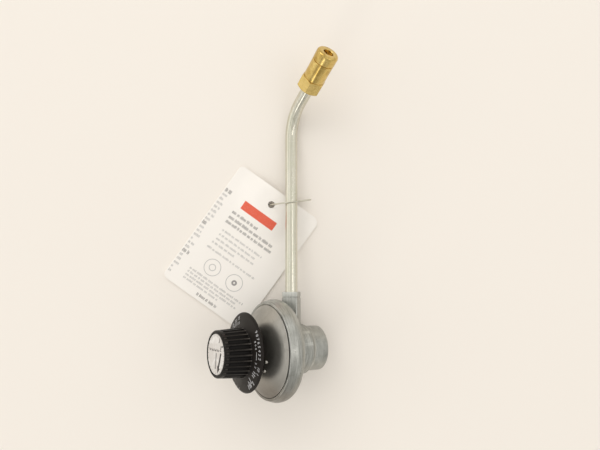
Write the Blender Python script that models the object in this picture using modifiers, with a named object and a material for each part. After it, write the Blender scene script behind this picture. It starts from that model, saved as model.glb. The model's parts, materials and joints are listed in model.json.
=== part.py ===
"""Low-pressure appliance regulator with a rigid outlet tube, lying on a bench.

Three frames are used:
  casing frame   +Z along the knob axis (towards the knob), +Y along the outlet tube,
                 +X square to both; z = 0 is the seam plane between cover and casting
  nozzle frame   +Z along the nozzle axis, origin on the nozzle's lower end
  bench frame    the world: +Z up, the floor at z = 0, the tube running along +Y in plan
The pose on the bench follows from the sizes: the casting rolls on its socket rim and its
drum until the tube touches the floor just before its bend.
"""

import math

import bmesh
import bpy
from mathutils import Matrix, Vector

MM = 0.001
TAU = 2.0 * math.pi

# ---------------------------------------------------------------- clearances
FIT = 0.30 * MM            # gap kept between touching pieces
SMALL_FIT = 0.20 * MM      # gap kept inside the small inlet valve

# ---------------------------------------------------------------- casting
LIP_RADIUS = 28.9 * MM     # inner edge of the rolled lip, the dark seam ring
LIP_THICKNESS = 0.7 * MM
DRUM_RADIUS = LIP_RADIUS + 3.1 * MM
DRUM_WIDEST_Z = -4.6 * MM  # the rolled lip slopes out and back to here
DRUM_BACK_Z = -11.2 * MM
DRUM_BACK_ROUND = 5.2 * MM
DRUM_WALL = 1.5 * MM
DRUM_DRAFT = 0.2 * MM      # loss of radius down the drum wall
CHAMBER_RADIUS = LIP_RADIUS - 4.5 * MM
CHAMBER_ROUND = 1.2 * MM
HOUSING_RADIUS = 16.0 * MM
HOUSING_END_Z = -25.6 * MM
SOCKET_RADIUS = 14.25 * MM
SOCKET_END_Z = -37.9 * MM
SOCKET_BORE_RADIUS = 12.2 * MM   # crests of the 1 inch cylinder thread
SOCKET_FLOOR_Z = -26.2 * MM
SOCKET_CHAMFER = 0.5 * MM
THREAD_LEAD_IN = 0.7 * MM
BOSS_WIDTH = 10.4 * MM
BOSS_ROUND = 1.2 * MM
BOSS_TURN = 45.0           # degrees: the square boss stands on its corner behind the drum
BOSS_REACH = DRUM_RADIUS + 4.6 * MM   # knob axis to the boss's mouth
BOSS_AXIS_Z = DRUM_BACK_Z - 7.4 * MM
STAKE_FROM_MOUTH = 3.4 * MM
STAKE_WIDTH = 1.1 * MM
STAKE_DEPTH = 0.4 * MM
PASSAGE_RADIUS = 2.2 * MM
PASSAGE_Y = 13.0 * MM      # drilling from the chamber down to the tube bore
OVERCUT = 1.0 * MM         # how far a cut runs past the solid it cuts

# ---------------------------------------------------------------- diaphragm stack
CLAMP_FLANGE = 1.0 * MM    # thickness of the cover's clamped flange
CLAMP_OVERLAP = 0.9 * MM   # width of that flange under the lip
SLIP_RING_THICKNESS = 0.3 * MM
DIAPHRAGM_THICKNESS = 0.8 * MM
CONVOLUTION_SHARE = 0.65   # of the free width between plate and chamber wall
CONVOLUTION_HEIGHT = 1.5 * MM
PLATE_RADIUS = 14.5 * MM
PLATE_THICKNESS = 0.8 * MM
PLATE_RIM_HEIGHT = 1.2 * MM
RIVET_RADIUS = 1.6 * MM
RIVET_HEAD_RADIUS = 2.9 * MM
RIVET_HEAD_HEIGHT = 0.8 * MM
BUTTON_RADIUS = 5.0 * MM
BUTTON_HEIGHT = 1.0 * MM
PUSH_PIN_RADIUS = 1.2 * MM
STROKE = 0.8 * MM          # opening travel of the valve

# ---------------------------------------------------------------- cover
COVER_WALL = 1.6 * MM
COVER_BLEND = 3.0 * MM     # fillets at the cone's foot and top
TOWER_RADIUS = 9.5 * MM
CONE_FOOT_RADIUS = LIP_RADIUS - 2.4 * MM
CONE_FOOT_Z = 1.5 * MM
CONE_TOP_RADIUS = TOWER_RADIUS + 3.1 * MM
CONE_TOP_Z = 8.6 * MM
TOWER_TOP_Z = 23.8 * MM
TOWER_CAP = 2.4 * MM
TOWER_BORE_RADIUS = 7.4 * MM
KEYWAY_RADIUS = 8.6 * MM
VENT_RADIUS = 0.9 * MM
VENT_ANGLE = 205.0         # degrees about the knob axis
PIP_RADIUS = 0.9 * MM
PIP_HEIGHT = 0.9 * MM      # above the cone
PIP_SPOTS = ((2.3 * MM, -18.6), (2.9 * MM, -41.9))   # beyond the cone's top, degrees

# ---------------------------------------------------------------- adjuster
BUSH_RADIUS = 4.0 * MM
BUSH_FLANGE_RADIUS = 6.2 * MM
BUSH_FLANGE = 0.8 * MM
STEM_RADIUS = 2.9 * MM
STEM_COLLAR_RADIUS = 5.4 * MM
STEM_COLLAR = 1.2 * MM
STEM_TOP_Z = 32.0 * MM
STEM_FLAT = 2.0 * MM       # stem axis to the flat that drives the knob
SCREW_RADIUS = 2.45 * MM
SCREW_END_Z = 5.0 * MM
CLIP_THICKNESS = 0.8 * MM
CLIP_RADIUS = 5.0 * MM
CLIP_GROOVE_RADIUS = 2.3 * MM
NUT_RADIUS = 6.9 * MM
NUT_HEIGHT = 3.4 * MM
NUT_TOP_Z = 17.0 * MM
NUT_TRAVEL = 3.0 * MM      # over the knob's whole turn
KEY_WIDTH = 2.4 * MM
KEY_HEIGHT = 2.6 * MM
SPRING_MEAN_RADIUS = 5.4 * MM
SPRING_WIRE = 1.4 * MM
SPRING_CURLS = 6
SPRING_POINTS = 9          # points in each curl

# ---------------------------------------------------------------- knob
KNOB_TOP_Z = 34.1 * MM
KNOB_FACE_RADIUS = 14.1 * MM
KNOB_FOOT_RADIUS = 15.2 * MM
KNOB_FACE_ROUND = 1.2 * MM
KNOB_WALL = 2.6 * MM
SKIRT_RADIUS = 24.4 * MM
SKIRT_EDGE_Z = 14.3 * MM
SKIRT_TOP_Z = 17.2 * MM
SKIRT_THICKNESS = 1.5 * MM
LABEL_RADIUS = 12.1 * MM
LABEL_THICKNESS = 0.6 * MM
LABEL_RECESS = 1.1 * MM
FLUTES = 28
FLUTE_RADIUS = 1.25 * MM
FLUTE_DEPTH = 0.75 * MM
FLUTE_TOP_Z = 31.2 * MM    # a plain band is left above the flutes
HUB_RADIUS = 5.4 * MM

# ---------------------------------------------------------------- inlet
NIPPLE_RADIUS = 4.65 * MM
NIPPLE_TOP_Z = -14.3 * MM
NIPPLE_BORE_RADIUS = 2.6 * MM
SEAT_WEB = 1.2 * MM
SEAT_ORIFICE_RADIUS = 1.0 * MM
NIPPLE_HEX = 13.0 * MM     # across flats
NIPPLE_HEX_HEIGHT = 2.4 * MM
SPIGOT_RADIUS = 4.2 * MM
SPIGOT_END_Z = -34.6 * MM
SEAL_RADIUS = 8.3 * MM
SEAL_HEIGHT = 1.7 * MM
POPPET_RADIUS = 1.95 * MM
POPPET_HEIGHT = 1.4 * MM
POPPET_SEAL_HEIGHT = 0.8 * MM
POPPET_PIN_RADIUS = 0.5 * MM
POPPET_TAIL_RADIUS = 0.9 * MM
POPPET_TAIL = 3.0 * MM
VALVE_SPRING_MEAN_RADIUS = 1.75 * MM
VALVE_SPRING_WIRE = 0.5 * MM
VALVE_SPRING_LENGTH = 5.0 * MM
VALVE_SPRING_CURLS = 4
RETAINER_HEIGHT = 1.0 * MM
RETAINER_BORE_RADIUS = 1.1 * MM
FILTER_HEIGHT = 1.2 * MM
SPIDER_HEIGHT = 1.0 * MM
SPIDER_HOLES = 3
SPIDER_HOLE_RADIUS = 0.5 * MM
DEPRESSOR_RADIUS = 0.7 * MM
DEPRESSOR_REACH = 1.6 * MM   # past the spigot's end

# ---------------------------------------------------------------- outlet
TUBE_DIAMETER = 7.94 * MM  # 5/16 inch
TUBE_BORE = 6.3 * MM
TUBE_START_Y = HOUSING_RADIUS + 3.0 * MM
TUBE_BEND_Y = 138.6 * MM
TUBE_BEND_RADIUS = 25.6 * MM
TUBE_BEND_ANGLE = 56.0     # degrees
TUBE_TAIL = 11.8 * MM      # straight run between bend and nozzle
TUBE_IN_NOZZLE = 9.0 * MM
TUBE_BEND_STEPS = 12
NOZZLE_LENGTH = 28.4 * MM
NOZZLE_HEX = 14.3 * MM     # 9/16 inch across flats
NOZZLE_HEX_LENGTH = 8.6 * MM
NOZZLE_HEX_CHAMFER = 1.1 * MM
NOZZLE_TURN = -8.3         # degrees about the nozzle's own axis: a hexagon corner on top
NOZZLE_RADIUS = 7.0 * MM
NOZZLE_GROOVE_AT = 21.2 * MM
NOZZLE_GROOVE_WIDTH = 1.1 * MM
NOZZLE_GROOVE_DEPTH = 0.5 * MM
NOZZLE_COLLAR_RADIUS = 7.15 * MM
NOZZLE_COLLAR_ROUND = 1.7 * MM
NOZZLE_WAY_RADIUS = 2.0 * MM
JET_BORE_RADIUS = 3.2 * MM
JET_BORE_DEPTH = 7.0 * MM
JET_LENGTH = 4.6 * MM
JET_ORIFICE_RADIUS = 0.6 * MM
JET_SLOT = 1.0 * MM

# ---------------------------------------------------------------- tag and tie
TAG_WIDTH = 65.0 * MM
TAG_HEIGHT = 92.0 * MM
TAG_CORNER = 5.0 * MM
PAPER = 0.30 * MM
LEAF_GAP = 0.40 * MM
TAG_CLEAR = 0.30 * MM      # paper to floor, where it lies flat
TAG_TURN = -35.8           # degrees: the tag's top edge to +X
TAG_HOLE_RADIUS = 2.3 * MM
TAG_HOLE_U = TAG_WIDTH / 2.0 - 0.5 * MM     # from the folded edge
TAG_HOLE_V = 10.2 * MM     # from the top edge
TAG_LIFT = 3.0 * MM        # the tie holds the paper up round the hole
TAG_LIFT_INNER = 9.0 * MM
TAG_LIFT_OUTER = 27.0 * MM
HOLE_FROM_TUBE = 13.4 * MM  # hole centre to tube axis, across the tube in plan
HOLE_ALONG_TUBE = 92.6 * MM  # knob axis to hole centre, along the tube
TIE_WIRE = 1.0 * MM
TIE_REACH = HOLE_FROM_TUBE + TUBE_DIAMETER + 4.9 * MM   # hole centre to the loop's far end
TIE_TURN = 7.0             # degrees: the loop's plane to +X

# ---------------------------------------------------------------- facets
ROUND_STEPS = 42
KNOB_STEPS = 56
MID_STEPS = 32
FINE_STEPS = 24
TINY_STEPS = 16
FLUTE_SIDES = 8
TUBE_SIDES_RESOLUTION = 3
SMALL_FILLET = 0.9 * MM    # up to this radius a fillet is one facet
TAG_ROWS = 9
TAG_COLUMNS = 12
FOLD_STEPS = 4


# ================================================================ helpers
def clear_scene():
    for item in list(bpy.data.objects):
        bpy.data.objects.remove(item, do_unlink=True)


def new_collection(name):
    collection = bpy.data.collections.new(name)
    bpy.context.scene.collection.children.link(collection)
    return collection


def make_material(name, color, roughness, metallic):
    material = bpy.data.materials.new(name)
    material.use_nodes = True
    shader = material.node_tree.nodes["Principled BSDF"]
    shader.inputs["Base Color"].default_value = (*color, 1.0)
    shader.inputs["Roughness"].default_value = roughness
    shader.inputs["Metallic"].default_value = metallic
    material.diffuse_color = (*color, 1.0)
    return material


def rounded(corners, steps=2):
    """Polyline through (r, z) or (r, z, fillet radius) corners, fillets as arcs."""
    count = len(corners)
    points = []
    for index, corner in enumerate(corners):
        here = Vector(corner[:2])
        radius = corner[2] if len(corner) > 2 else 0.0
        if radius <= 0.0 or index in (0, count - 1):
            points.append(here)
            continue
        before = (Vector(corners[index - 1][:2]) - here).normalized()
        after = (Vector(corners[index + 1][:2]) - here).normalized()
        half = before.angle(after) / 2.0
        reach = radius / math.tan(half)
        centre = here + (before + after).normalized() * radius / math.sin(half)
        first = here + before * reach - centre
        last = here + after * reach - centre
        turn = first.angle_signed(last)
        parts_of_arc = steps if radius > SMALL_FILLET else 1
        for step in range(parts_of_arc + 1):
            angle = -turn * step / parts_of_arc
            spoke = Vector((first.x * math.cos(angle) - first.y * math.sin(angle),
                            first.x * math.sin(angle) + first.y * math.cos(angle)))
            points.append(centre + spoke)
    return [(point.x, point.y) for point in points]


def place(obj, parent, collection, material):
    collection.objects.link(obj)
    if parent is not None:
        obj.parent = parent
    if material is not None:
        obj.data.materials.append(material)
    return obj


def turned(name, profile, material, parent, collection, closed=False, steps=FINE_STEPS):
    """Revolve an (r, z) profile about the parent's Z axis with a Screw modifier.

    The profile is turned round where needed, so that it runs down its outer side and the
    revolved faces look outwards.
    """
    following = profile[1:] + profile[:1]
    area = sum(r * next_z - next_r * z for (r, z), (next_r, next_z) in zip(profile, following))
    if area > 0.0:
        profile = profile[::-1]
    mesh = bpy.data.meshes.new(name)
    verts = [(r, 0.0, z) for r, z in profile]
    edges = [(index, index + 1) for index in range(len(verts) - 1)]
    if closed:
        edges.append((len(verts) - 1, 0))
    mesh.from_pydata(verts, edges, [])
    obj = place(bpy.data.objects.new(name, mesh), parent, collection, material)
    screw = obj.modifiers.new("turn", "SCREW")
    screw.axis = "Z"
    screw.angle = TAU
    screw.steps = steps
    screw.render_steps = steps
    screw.use_merge_vertices = True
    screw.merge_threshold = 1e-6
    screw.use_smooth_shade = True
    return obj


def box(name, size, centre, parent, collection, material=None, rotation_z=0.0):
    mesh = bpy.data.meshes.new(name)
    shape = bmesh.new()
    bmesh.ops.create_cube(shape, size=1.0)
    bmesh.ops.scale(shape, verts=shape.verts, vec=size)
    shape.to_mesh(mesh)
    shape.free()
    obj = place(bpy.data.objects.new(name, mesh), parent, collection, material)
    obj.location = centre
    obj.rotation_euler = (0.0, 0.0, rotation_z)
    return obj


def rods(name, radius, length, sides, spots, parent, collection):
    """Cylinders at (location, rotation matrix) spots, joined as one cutter mesh."""
    mesh = bpy.data.meshes.new(name)
    shape = bmesh.new()
    for location, turn in spots:
        matrix = Matrix.Translation(location) @ turn.to_4x4()
        bmesh.ops.create_cone(shape, cap_ends=True, segments=sides, radius1=radius,
                              radius2=radius, depth=length, matrix=matrix)
    shape.to_mesh(mesh)
    shape.free()
    return place(bpy.data.objects.new(name, mesh), parent, collection, None)


def combine(obj, other, operation):
    other.hide_render = True
    other.display_type = "WIRE"
    boolean = obj.modifiers.new(operation.lower(), "BOOLEAN")
    boolean.operation = operation
    boolean.solver = "EXACT"
    boolean.object = other


def wire_mesh(name, points, diameter, resolution, material, parent, collection, cyclic=False):
    """A round wire along the points: a POLY spline with a bevel, made a mesh."""
    curve = bpy.data.curves.new(name, "CURVE")
    curve.dimensions = "3D"
    curve.bevel_depth = diameter / 2.0
    curve.bevel_resolution = resolution
    curve.use_fill_caps = not cyclic
    spline = curve.splines.new("POLY")
    spline.points.add(len(points) - 1)
    for point, place_at in zip(spline.points, points):
        point.co = (*place_at, 1.0)
    spline.use_cyclic_u = cyclic
    guide = bpy.data.objects.new(name + "_guide", curve)
    collection.objects.link(guide)
    bpy.context.view_layer.update()
    mesh = bpy.data.meshes.new_from_object(guide.evaluated_get(
        bpy.context.evaluated_depsgraph_get()))
    mesh.name = name
    shape = bmesh.new()
    shape.from_mesh(mesh)
    bmesh.ops.remove_doubles(shape, verts=shape.verts, dist=1e-6)
    bmesh.ops.recalc_face_normals(shape, faces=shape.faces)
    shape.to_mesh(mesh)
    shape.free()
    bpy.data.objects.remove(guide, do_unlink=True)
    mesh.shade_smooth()
    return place(bpy.data.objects.new(name, mesh), parent, collection, material)


def helix(radius, low_z, high_z, curls):
    count = curls * SPRING_POINTS
    points = []
    for index in range(count + 1):
        angle = TAU * index / SPRING_POINTS
        height = low_z + (high_z - low_z) * index / count
        points.append((radius * math.cos(angle), radius * math.sin(angle), height))
    return points


def coil(name, radius, wire, low_z, high_z, curls, material, parent, collection):
    """A coil spring between two seats; prints the gap between its turns."""
    bottom = low_z + wire / 2.0
    top = high_z - wire / 2.0
    points = [Vector(point) for point in helix(radius, bottom, top, curls)]
    apart = SPRING_POINTS - 2
    gap = min((points[a] - points[b]).length for a in range(len(points))
              for b in range(a + apart, len(points))) - wire
    print(f"{name}: least gap to itself {gap / MM:.2f} mm")
    return wire_mesh(name, points, wire, 1, material, parent, collection)


# ================================================================ derived places
FLANGE_TOP_Z = -LIP_THICKNESS - FIT
FLANGE_BOTTOM_Z = FLANGE_TOP_Z - CLAMP_FLANGE
FLANGE_RADIUS = LIP_RADIUS + CLAMP_OVERLAP - FIT
CHAMBER_FLOOR_Z = DRUM_BACK_Z + DRUM_WALL
VENT_AT_RADIUS = (CONE_FOOT_RADIUS + CONE_TOP_RADIUS) / 2.0
CONVOLUTION_RADIUS = (CHAMBER_RADIUS + PLATE_RADIUS) / 2.0
CONVOLUTION_WIDTH = (CHAMBER_RADIUS - PLATE_RADIUS) * CONVOLUTION_SHARE
SLIP_TOP_Z = FLANGE_BOTTOM_Z - FIT
DIAPHRAGM_TOP_Z = SLIP_TOP_Z - SLIP_RING_THICKNESS - FIT
DIAPHRAGM_BOTTOM_Z = DIAPHRAGM_TOP_Z - DIAPHRAGM_THICKNESS
LEDGE_Z = DIAPHRAGM_BOTTOM_Z - FIT
PLATE_BOTTOM_Z = DIAPHRAGM_TOP_Z + FIT
PLATE_TOP_Z = PLATE_BOTTOM_Z + PLATE_THICKNESS
BUTTON_TOP_Z = DIAPHRAGM_BOTTOM_Z - FIT
SEAT_Z = NIPPLE_TOP_Z - SEAT_WEB
POPPET_SEAL_TOP_Z = SEAT_Z - FIT
POPPET_TOP_Z = POPPET_SEAL_TOP_Z - POPPET_SEAL_HEIGHT - SMALL_FIT
POPPET_BOTTOM_Z = POPPET_TOP_Z - POPPET_HEIGHT
POPPET_PIN_TOP_Z = NIPPLE_TOP_Z + STROKE + 0.6 * MM
PUSH_PIN_END_Z = POPPET_PIN_TOP_Z + FIT
VALVE_SPRING_TOP_Z = POPPET_BOTTOM_Z - SMALL_FIT
RETAINER_TOP_Z = VALVE_SPRING_TOP_Z - VALVE_SPRING_LENGTH - SMALL_FIT
FILTER_TOP_Z = RETAINER_TOP_Z - RETAINER_HEIGHT - FIT
SPIDER_TOP_Z = FILTER_TOP_Z - FILTER_HEIGHT - FIT
PLUG_RADIUS = NIPPLE_BORE_RADIUS - SMALL_FIT
HEX_TOP_Z = SOCKET_FLOOR_Z - FIT
HEX_BOTTOM_Z = HEX_TOP_Z - NIPPLE_HEX_HEIGHT
SEAL_TOP_Z = HEX_BOTTOM_Z - FIT
CAP_UNDERSIDE_Z = TOWER_TOP_Z - TOWER_CAP
BUSH_FOOT_Z = CAP_UNDERSIDE_Z - FIT - BUSH_FLANGE
COLLAR_TOP_Z = BUSH_FOOT_Z - FIT
COLLAR_FOOT_Z = COLLAR_TOP_Z - STEM_COLLAR
CLIP_Z = TOWER_TOP_Z + FIT
HUB_FOOT_Z = CLIP_Z + CLIP_THICKNESS + FIT
RECESS_FLOOR_Z = KNOB_TOP_Z - LABEL_RECESS
LABEL_FOOT_Z = RECESS_FLOOR_Z + FIT
TUBE_RADIUS = TUBE_DIAMETER / 2.0
BEND = math.radians(TUBE_BEND_ANGLE)
TIE_RADIUS = TIE_WIRE / 2.0


def casting_profile():
    """Closed (r, z) loop of the turned part of the body casting, from the lip outwards."""
    wall_foot = DRUM_RADIUS - DRUM_DRAFT
    lip_width = DRUM_RADIUS - LIP_RADIUS
    outer = [
        (LIP_RADIUS, 0.0),
        (LIP_RADIUS + 0.5 * lip_width, 0.0, 0.8 * MM),
        (DRUM_RADIUS, DRUM_WIDEST_Z, 2.5 * MM),
        (wall_foot, DRUM_BACK_Z, DRUM_BACK_ROUND),
        (HOUSING_RADIUS + 3.0 * MM, DRUM_BACK_Z - 0.9 * MM, 1.5 * MM),
        (HOUSING_RADIUS, DRUM_BACK_Z - 2.6 * MM, 1.0 * MM),
        (HOUSING_RADIUS, HOUSING_END_Z, 0.8 * MM),
        (SOCKET_RADIUS + 0.7 * MM, HOUSING_END_Z - 1.3 * MM, 0.5 * MM),
        (SOCKET_RADIUS + 0.15 * MM, HOUSING_END_Z - 2.6 * MM, 1.0 * MM),
        (SOCKET_RADIUS, SOCKET_END_Z + SOCKET_CHAMFER),
        (SOCKET_RADIUS - SOCKET_CHAMFER, SOCKET_END_Z),
    ]
    inner = [
        (SOCKET_BORE_RADIUS + THREAD_LEAD_IN, SOCKET_END_Z),
        (SOCKET_BORE_RADIUS, SOCKET_END_Z + THREAD_LEAD_IN),
        (SOCKET_BORE_RADIUS, SOCKET_FLOOR_Z),
        (NIPPLE_RADIUS + FIT, SOCKET_FLOOR_Z),
        (NIPPLE_RADIUS + FIT, CHAMBER_FLOOR_Z),
        (CHAMBER_RADIUS, CHAMBER_FLOOR_Z, CHAMBER_ROUND),
        (CHAMBER_RADIUS, LEDGE_Z),
        (FLANGE_RADIUS + FIT, LEDGE_Z),
        (FLANGE_RADIUS + FIT, -LIP_THICKNESS),
        (LIP_RADIUS, -LIP_THICKNESS),
    ]
    return rounded(outer + inner)


def tube_path():
    """Tube centreline in the casing frame, with the direction at its end."""
    start = Vector((0.0, TUBE_START_Y, BOSS_AXIS_Z))
    bend_start = Vector((0.0, TUBE_BEND_Y, BOSS_AXIS_Z))
    centre = bend_start + Vector((TUBE_BEND_RADIUS, 0.0, 0.0))
    straight = 8
    points = [start.lerp(bend_start, index / straight) for index in range(straight)]
    for step in range(TUBE_BEND_STEPS + 1):
        angle = BEND * step / TUBE_BEND_STEPS
        spoke = Vector((-math.cos(angle), math.sin(angle), 0.0)) * TUBE_BEND_RADIUS
        points.append(centre + spoke)
    direction = Vector((math.sin(BEND), math.cos(BEND), 0.0))
    points.append(points[-1] + direction * (TUBE_TAIL + TUBE_IN_NOZZLE - FIT))
    return points, direction


def resting_pose():
    """Rotation and seam height of the casing frame, lying on socket rim, drum and tube."""
    foot_r = SOCKET_RADIUS
    foot_z = SOCKET_END_Z + SOCKET_CHAMFER
    tilt = max(math.atan2(r - foot_r, z - foot_z)
               for r, z in casting_profile() if z > HOUSING_END_Z)
    height = foot_r * math.cos(tilt) - foot_z * math.sin(tilt)
    lean = Matrix(((math.sin(tilt), 0.0, -math.cos(tilt)),
                   (0.0, 1.0, 0.0),
                   (math.cos(tilt), 0.0, math.sin(tilt))))
    path, _ = tube_path()
    shallow, steep = 0.0, math.radians(45.0)
    for _ in range(50):
        roll = (shallow + steep) / 2.0
        turn = lean @ Matrix.Rotation(roll, 3, "Z")
        clearance = height + min((turn @ point).z for point in path) - TUBE_RADIUS
        if clearance > 0.0:
            shallow = roll
        else:
            steep = roll
    turn = lean @ Matrix.Rotation(shallow, 3, "Z")
    along = turn @ Vector((0.0, 1.0, 0.0))
    yaw = math.atan2(along.x, along.y)
    print(f"pose: knob axis {math.degrees(tilt):.2f} deg up, roll {math.degrees(shallow):.2f},"
          f" yaw {math.degrees(yaw):.2f}, seam centre {height / MM:.2f} mm high")
    return Matrix.Rotation(yaw, 3, "Z") @ turn, height


# ================================================================ casting and cover
def rounded_bar(name, width, corner, start_y, end_y, axis_z, parent, collection):
    """A square bar along Y with rounded long edges, turned about its own axis."""
    mesh = bpy.data.meshes.new(name)
    shape = bmesh.new()
    bmesh.ops.create_cube(shape, size=1.0)
    bmesh.ops.scale(shape, verts=shape.verts, vec=(width, end_y - start_y, width))
    long_edges = [edge for edge in shape.edges
                  if abs(edge.verts[0].co.y - edge.verts[1].co.y) > (end_y - start_y) / 2.0]
    bmesh.ops.bevel(shape, geom=long_edges, offset=corner, segments=4, profile=0.5,
                    affect="EDGES")
    shape.to_mesh(mesh)
    shape.free()
    obj = place(bpy.data.objects.new(name, mesh), parent, collection, None)
    obj.location = (0.0, (start_y + end_y) / 2.0, axis_z)
    obj.rotation_euler = (0.0, math.radians(BOSS_TURN), 0.0)
    return obj


def build_casting(parent, parts, cutters, material):
    body = turned("body_casting", casting_profile(), material, parent, parts, True, ROUND_STEPS)
    boss_start = NIPPLE_RADIUS + FIT + 2.0 * DRUM_WALL
    boss = rounded_bar("cut_boss", BOSS_WIDTH, BOSS_ROUND, boss_start, BOSS_REACH,
                       BOSS_AXIS_Z, parent, cutters)
    combine(body, boss, "UNION")
    # the web fills the corner between the boss and the back of the drum
    web_low = BOSS_AXIS_Z + BOSS_WIDTH / 4.0
    web_high = DRUM_BACK_Z + DRUM_WALL / 2.0
    web_start = HOUSING_RADIUS - BOSS_WIDTH / 4.0
    web_end = DRUM_RADIUS - DRUM_BACK_ROUND
    web = box("cut_web", (BOSS_WIDTH / 2.0, web_end - web_start, web_high - web_low),
              (0.0, (web_start + web_end) / 2.0, (web_high + web_low) / 2.0), parent, cutters)
    combine(body, web, "UNION")
    along_y = Matrix.Rotation(math.pi / 2.0, 3, "X")
    bore_start = TUBE_START_Y - FIT
    bore_end = BOSS_REACH + OVERCUT
    bore = rods("cut_tube_bore", TUBE_RADIUS + FIT, bore_end - bore_start, FINE_STEPS,
                [((0.0, (bore_start + bore_end) / 2.0, BOSS_AXIS_Z), along_y)], parent, cutters)
    combine(body, bore, "DIFFERENCE")
    way_start = PASSAGE_Y - PASSAGE_RADIUS
    way = rods("cut_passage", PASSAGE_RADIUS, bore_start + OVERCUT - way_start, TINY_STEPS,
               [((0.0, (way_start + bore_start + OVERCUT) / 2.0, BOSS_AXIS_Z), along_y)],
               parent, cutters)
    combine(body, way, "DIFFERENCE")
    drill_top = CHAMBER_FLOOR_Z + OVERCUT
    drill = rods("cut_drilling", PASSAGE_RADIUS - FIT, drill_top - BOSS_AXIS_Z, TINY_STEPS,
                 [((0.0, PASSAGE_Y, (drill_top + BOSS_AXIS_Z) / 2.0), Matrix.Identity(3))],
                 parent, cutters)
    combine(body, drill, "DIFFERENCE")
    # the boss is staked on to the tube: a shallow groove goes round it
    stake = box("cut_stake", (BOSS_WIDTH * 2.0, STAKE_WIDTH, BOSS_WIDTH * 2.0),
                (0.0, BOSS_REACH - STAKE_FROM_MOUTH, BOSS_AXIS_Z), parent, cutters)
    core = rounded_bar("cut_stake_core", BOSS_WIDTH - 2.0 * STAKE_DEPTH,
                       BOSS_ROUND - STAKE_DEPTH, BOSS_REACH - 2.0 * STAKE_FROM_MOUTH,
                       BOSS_REACH, BOSS_AXIS_Z, parent, cutters)
    combine(stake, core, "DIFFERENCE")
    combine(body, stake, "DIFFERENCE")
    return body


def build_cover(parent, parts, cutters, material):
    slope = (CONE_TOP_Z - CONE_FOOT_Z) / (CONE_FOOT_RADIUS - CONE_TOP_RADIUS)
    drop = COVER_WALL * math.sqrt(1.0 + slope * slope)
    neck = LIP_RADIUS - FIT
    inside = CHAMBER_RADIUS - 0.5 * MM

    def underside(radius):
        return CONE_FOOT_Z + (CONE_FOOT_RADIUS - radius) * slope - drop

    cone_inner = CONE_TOP_RADIUS
    profile = rounded([
        (FLANGE_RADIUS, FLANGE_BOTTOM_Z),
        (FLANGE_RADIUS, FLANGE_TOP_Z),
        (neck, FLANGE_TOP_Z),
        (neck, 0.1 * MM, 0.4 * MM),
        (CONE_FOOT_RADIUS, CONE_FOOT_Z, COVER_BLEND),
        (CONE_TOP_RADIUS, CONE_TOP_Z, COVER_BLEND),
        (TOWER_RADIUS, CONE_TOP_Z + 2.6 * MM, 1.5 * MM),
        (TOWER_RADIUS, TOWER_TOP_Z - 0.6 * MM),
        (TOWER_RADIUS - 0.6 * MM, TOWER_TOP_Z),
        (BUSH_RADIUS + FIT, TOWER_TOP_Z),
        (BUSH_RADIUS + FIT, CAP_UNDERSIDE_Z),
        (TOWER_BORE_RADIUS, CAP_UNDERSIDE_Z),
        (TOWER_BORE_RADIUS, underside(TOWER_BORE_RADIUS) + 1.6 * MM),
        (cone_inner, underside(cone_inner)),
        (inside, underside(inside)),
        (inside, FLANGE_BOTTOM_Z),
    ])
    cover = turned("cover_casting", profile, material, parent, parts, True, ROUND_STEPS)
    # two keyways keep the spring nut from turning with the screw
    key_low = NUT_TOP_Z - NUT_HEIGHT - NUT_TRAVEL - 1.0 * MM
    key_high = CAP_UNDERSIDE_Z
    keyway = box("cut_keyway", (KEYWAY_RADIUS * 2.0, KEY_WIDTH + 2.0 * FIT, key_high - key_low),
                 (0.0, 0.0, (key_high + key_low) / 2.0), parent, cutters)
    combine(cover, keyway, "DIFFERENCE")
    vent_turn = math.radians(VENT_ANGLE)
    vent = rods("cut_vent", VENT_RADIUS, 8.0 * COVER_WALL, TINY_STEPS,
                [((VENT_AT_RADIUS * math.cos(vent_turn), VENT_AT_RADIUS * math.sin(vent_turn),
                   CONE_FOOT_Z), Matrix.Identity(3))], parent, cutters)
    combine(cover, vent, "DIFFERENCE")
    for index, (beyond, degrees) in enumerate(PIP_SPOTS):
        at_radius = CONE_TOP_RADIUS + beyond
        pip_turn = math.radians(degrees)
        pip_low = underside(at_radius) + COVER_WALL / 2.0
        pip_top = underside(at_radius) + drop + PIP_HEIGHT
        pip = turned(f"cut_pip_{index}", rounded([
            (0.0, pip_low), (PIP_RADIUS * 1.3, pip_low),
            (PIP_RADIUS, pip_top, PIP_RADIUS * 0.5), (0.0, pip_top)]),
            None, parent, cutters, steps=TINY_STEPS)
        pip.location = (at_radius * math.cos(pip_turn), at_radius * math.sin(pip_turn), 0.0)
        combine(cover, pip, "UNION")
    return cover


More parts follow.
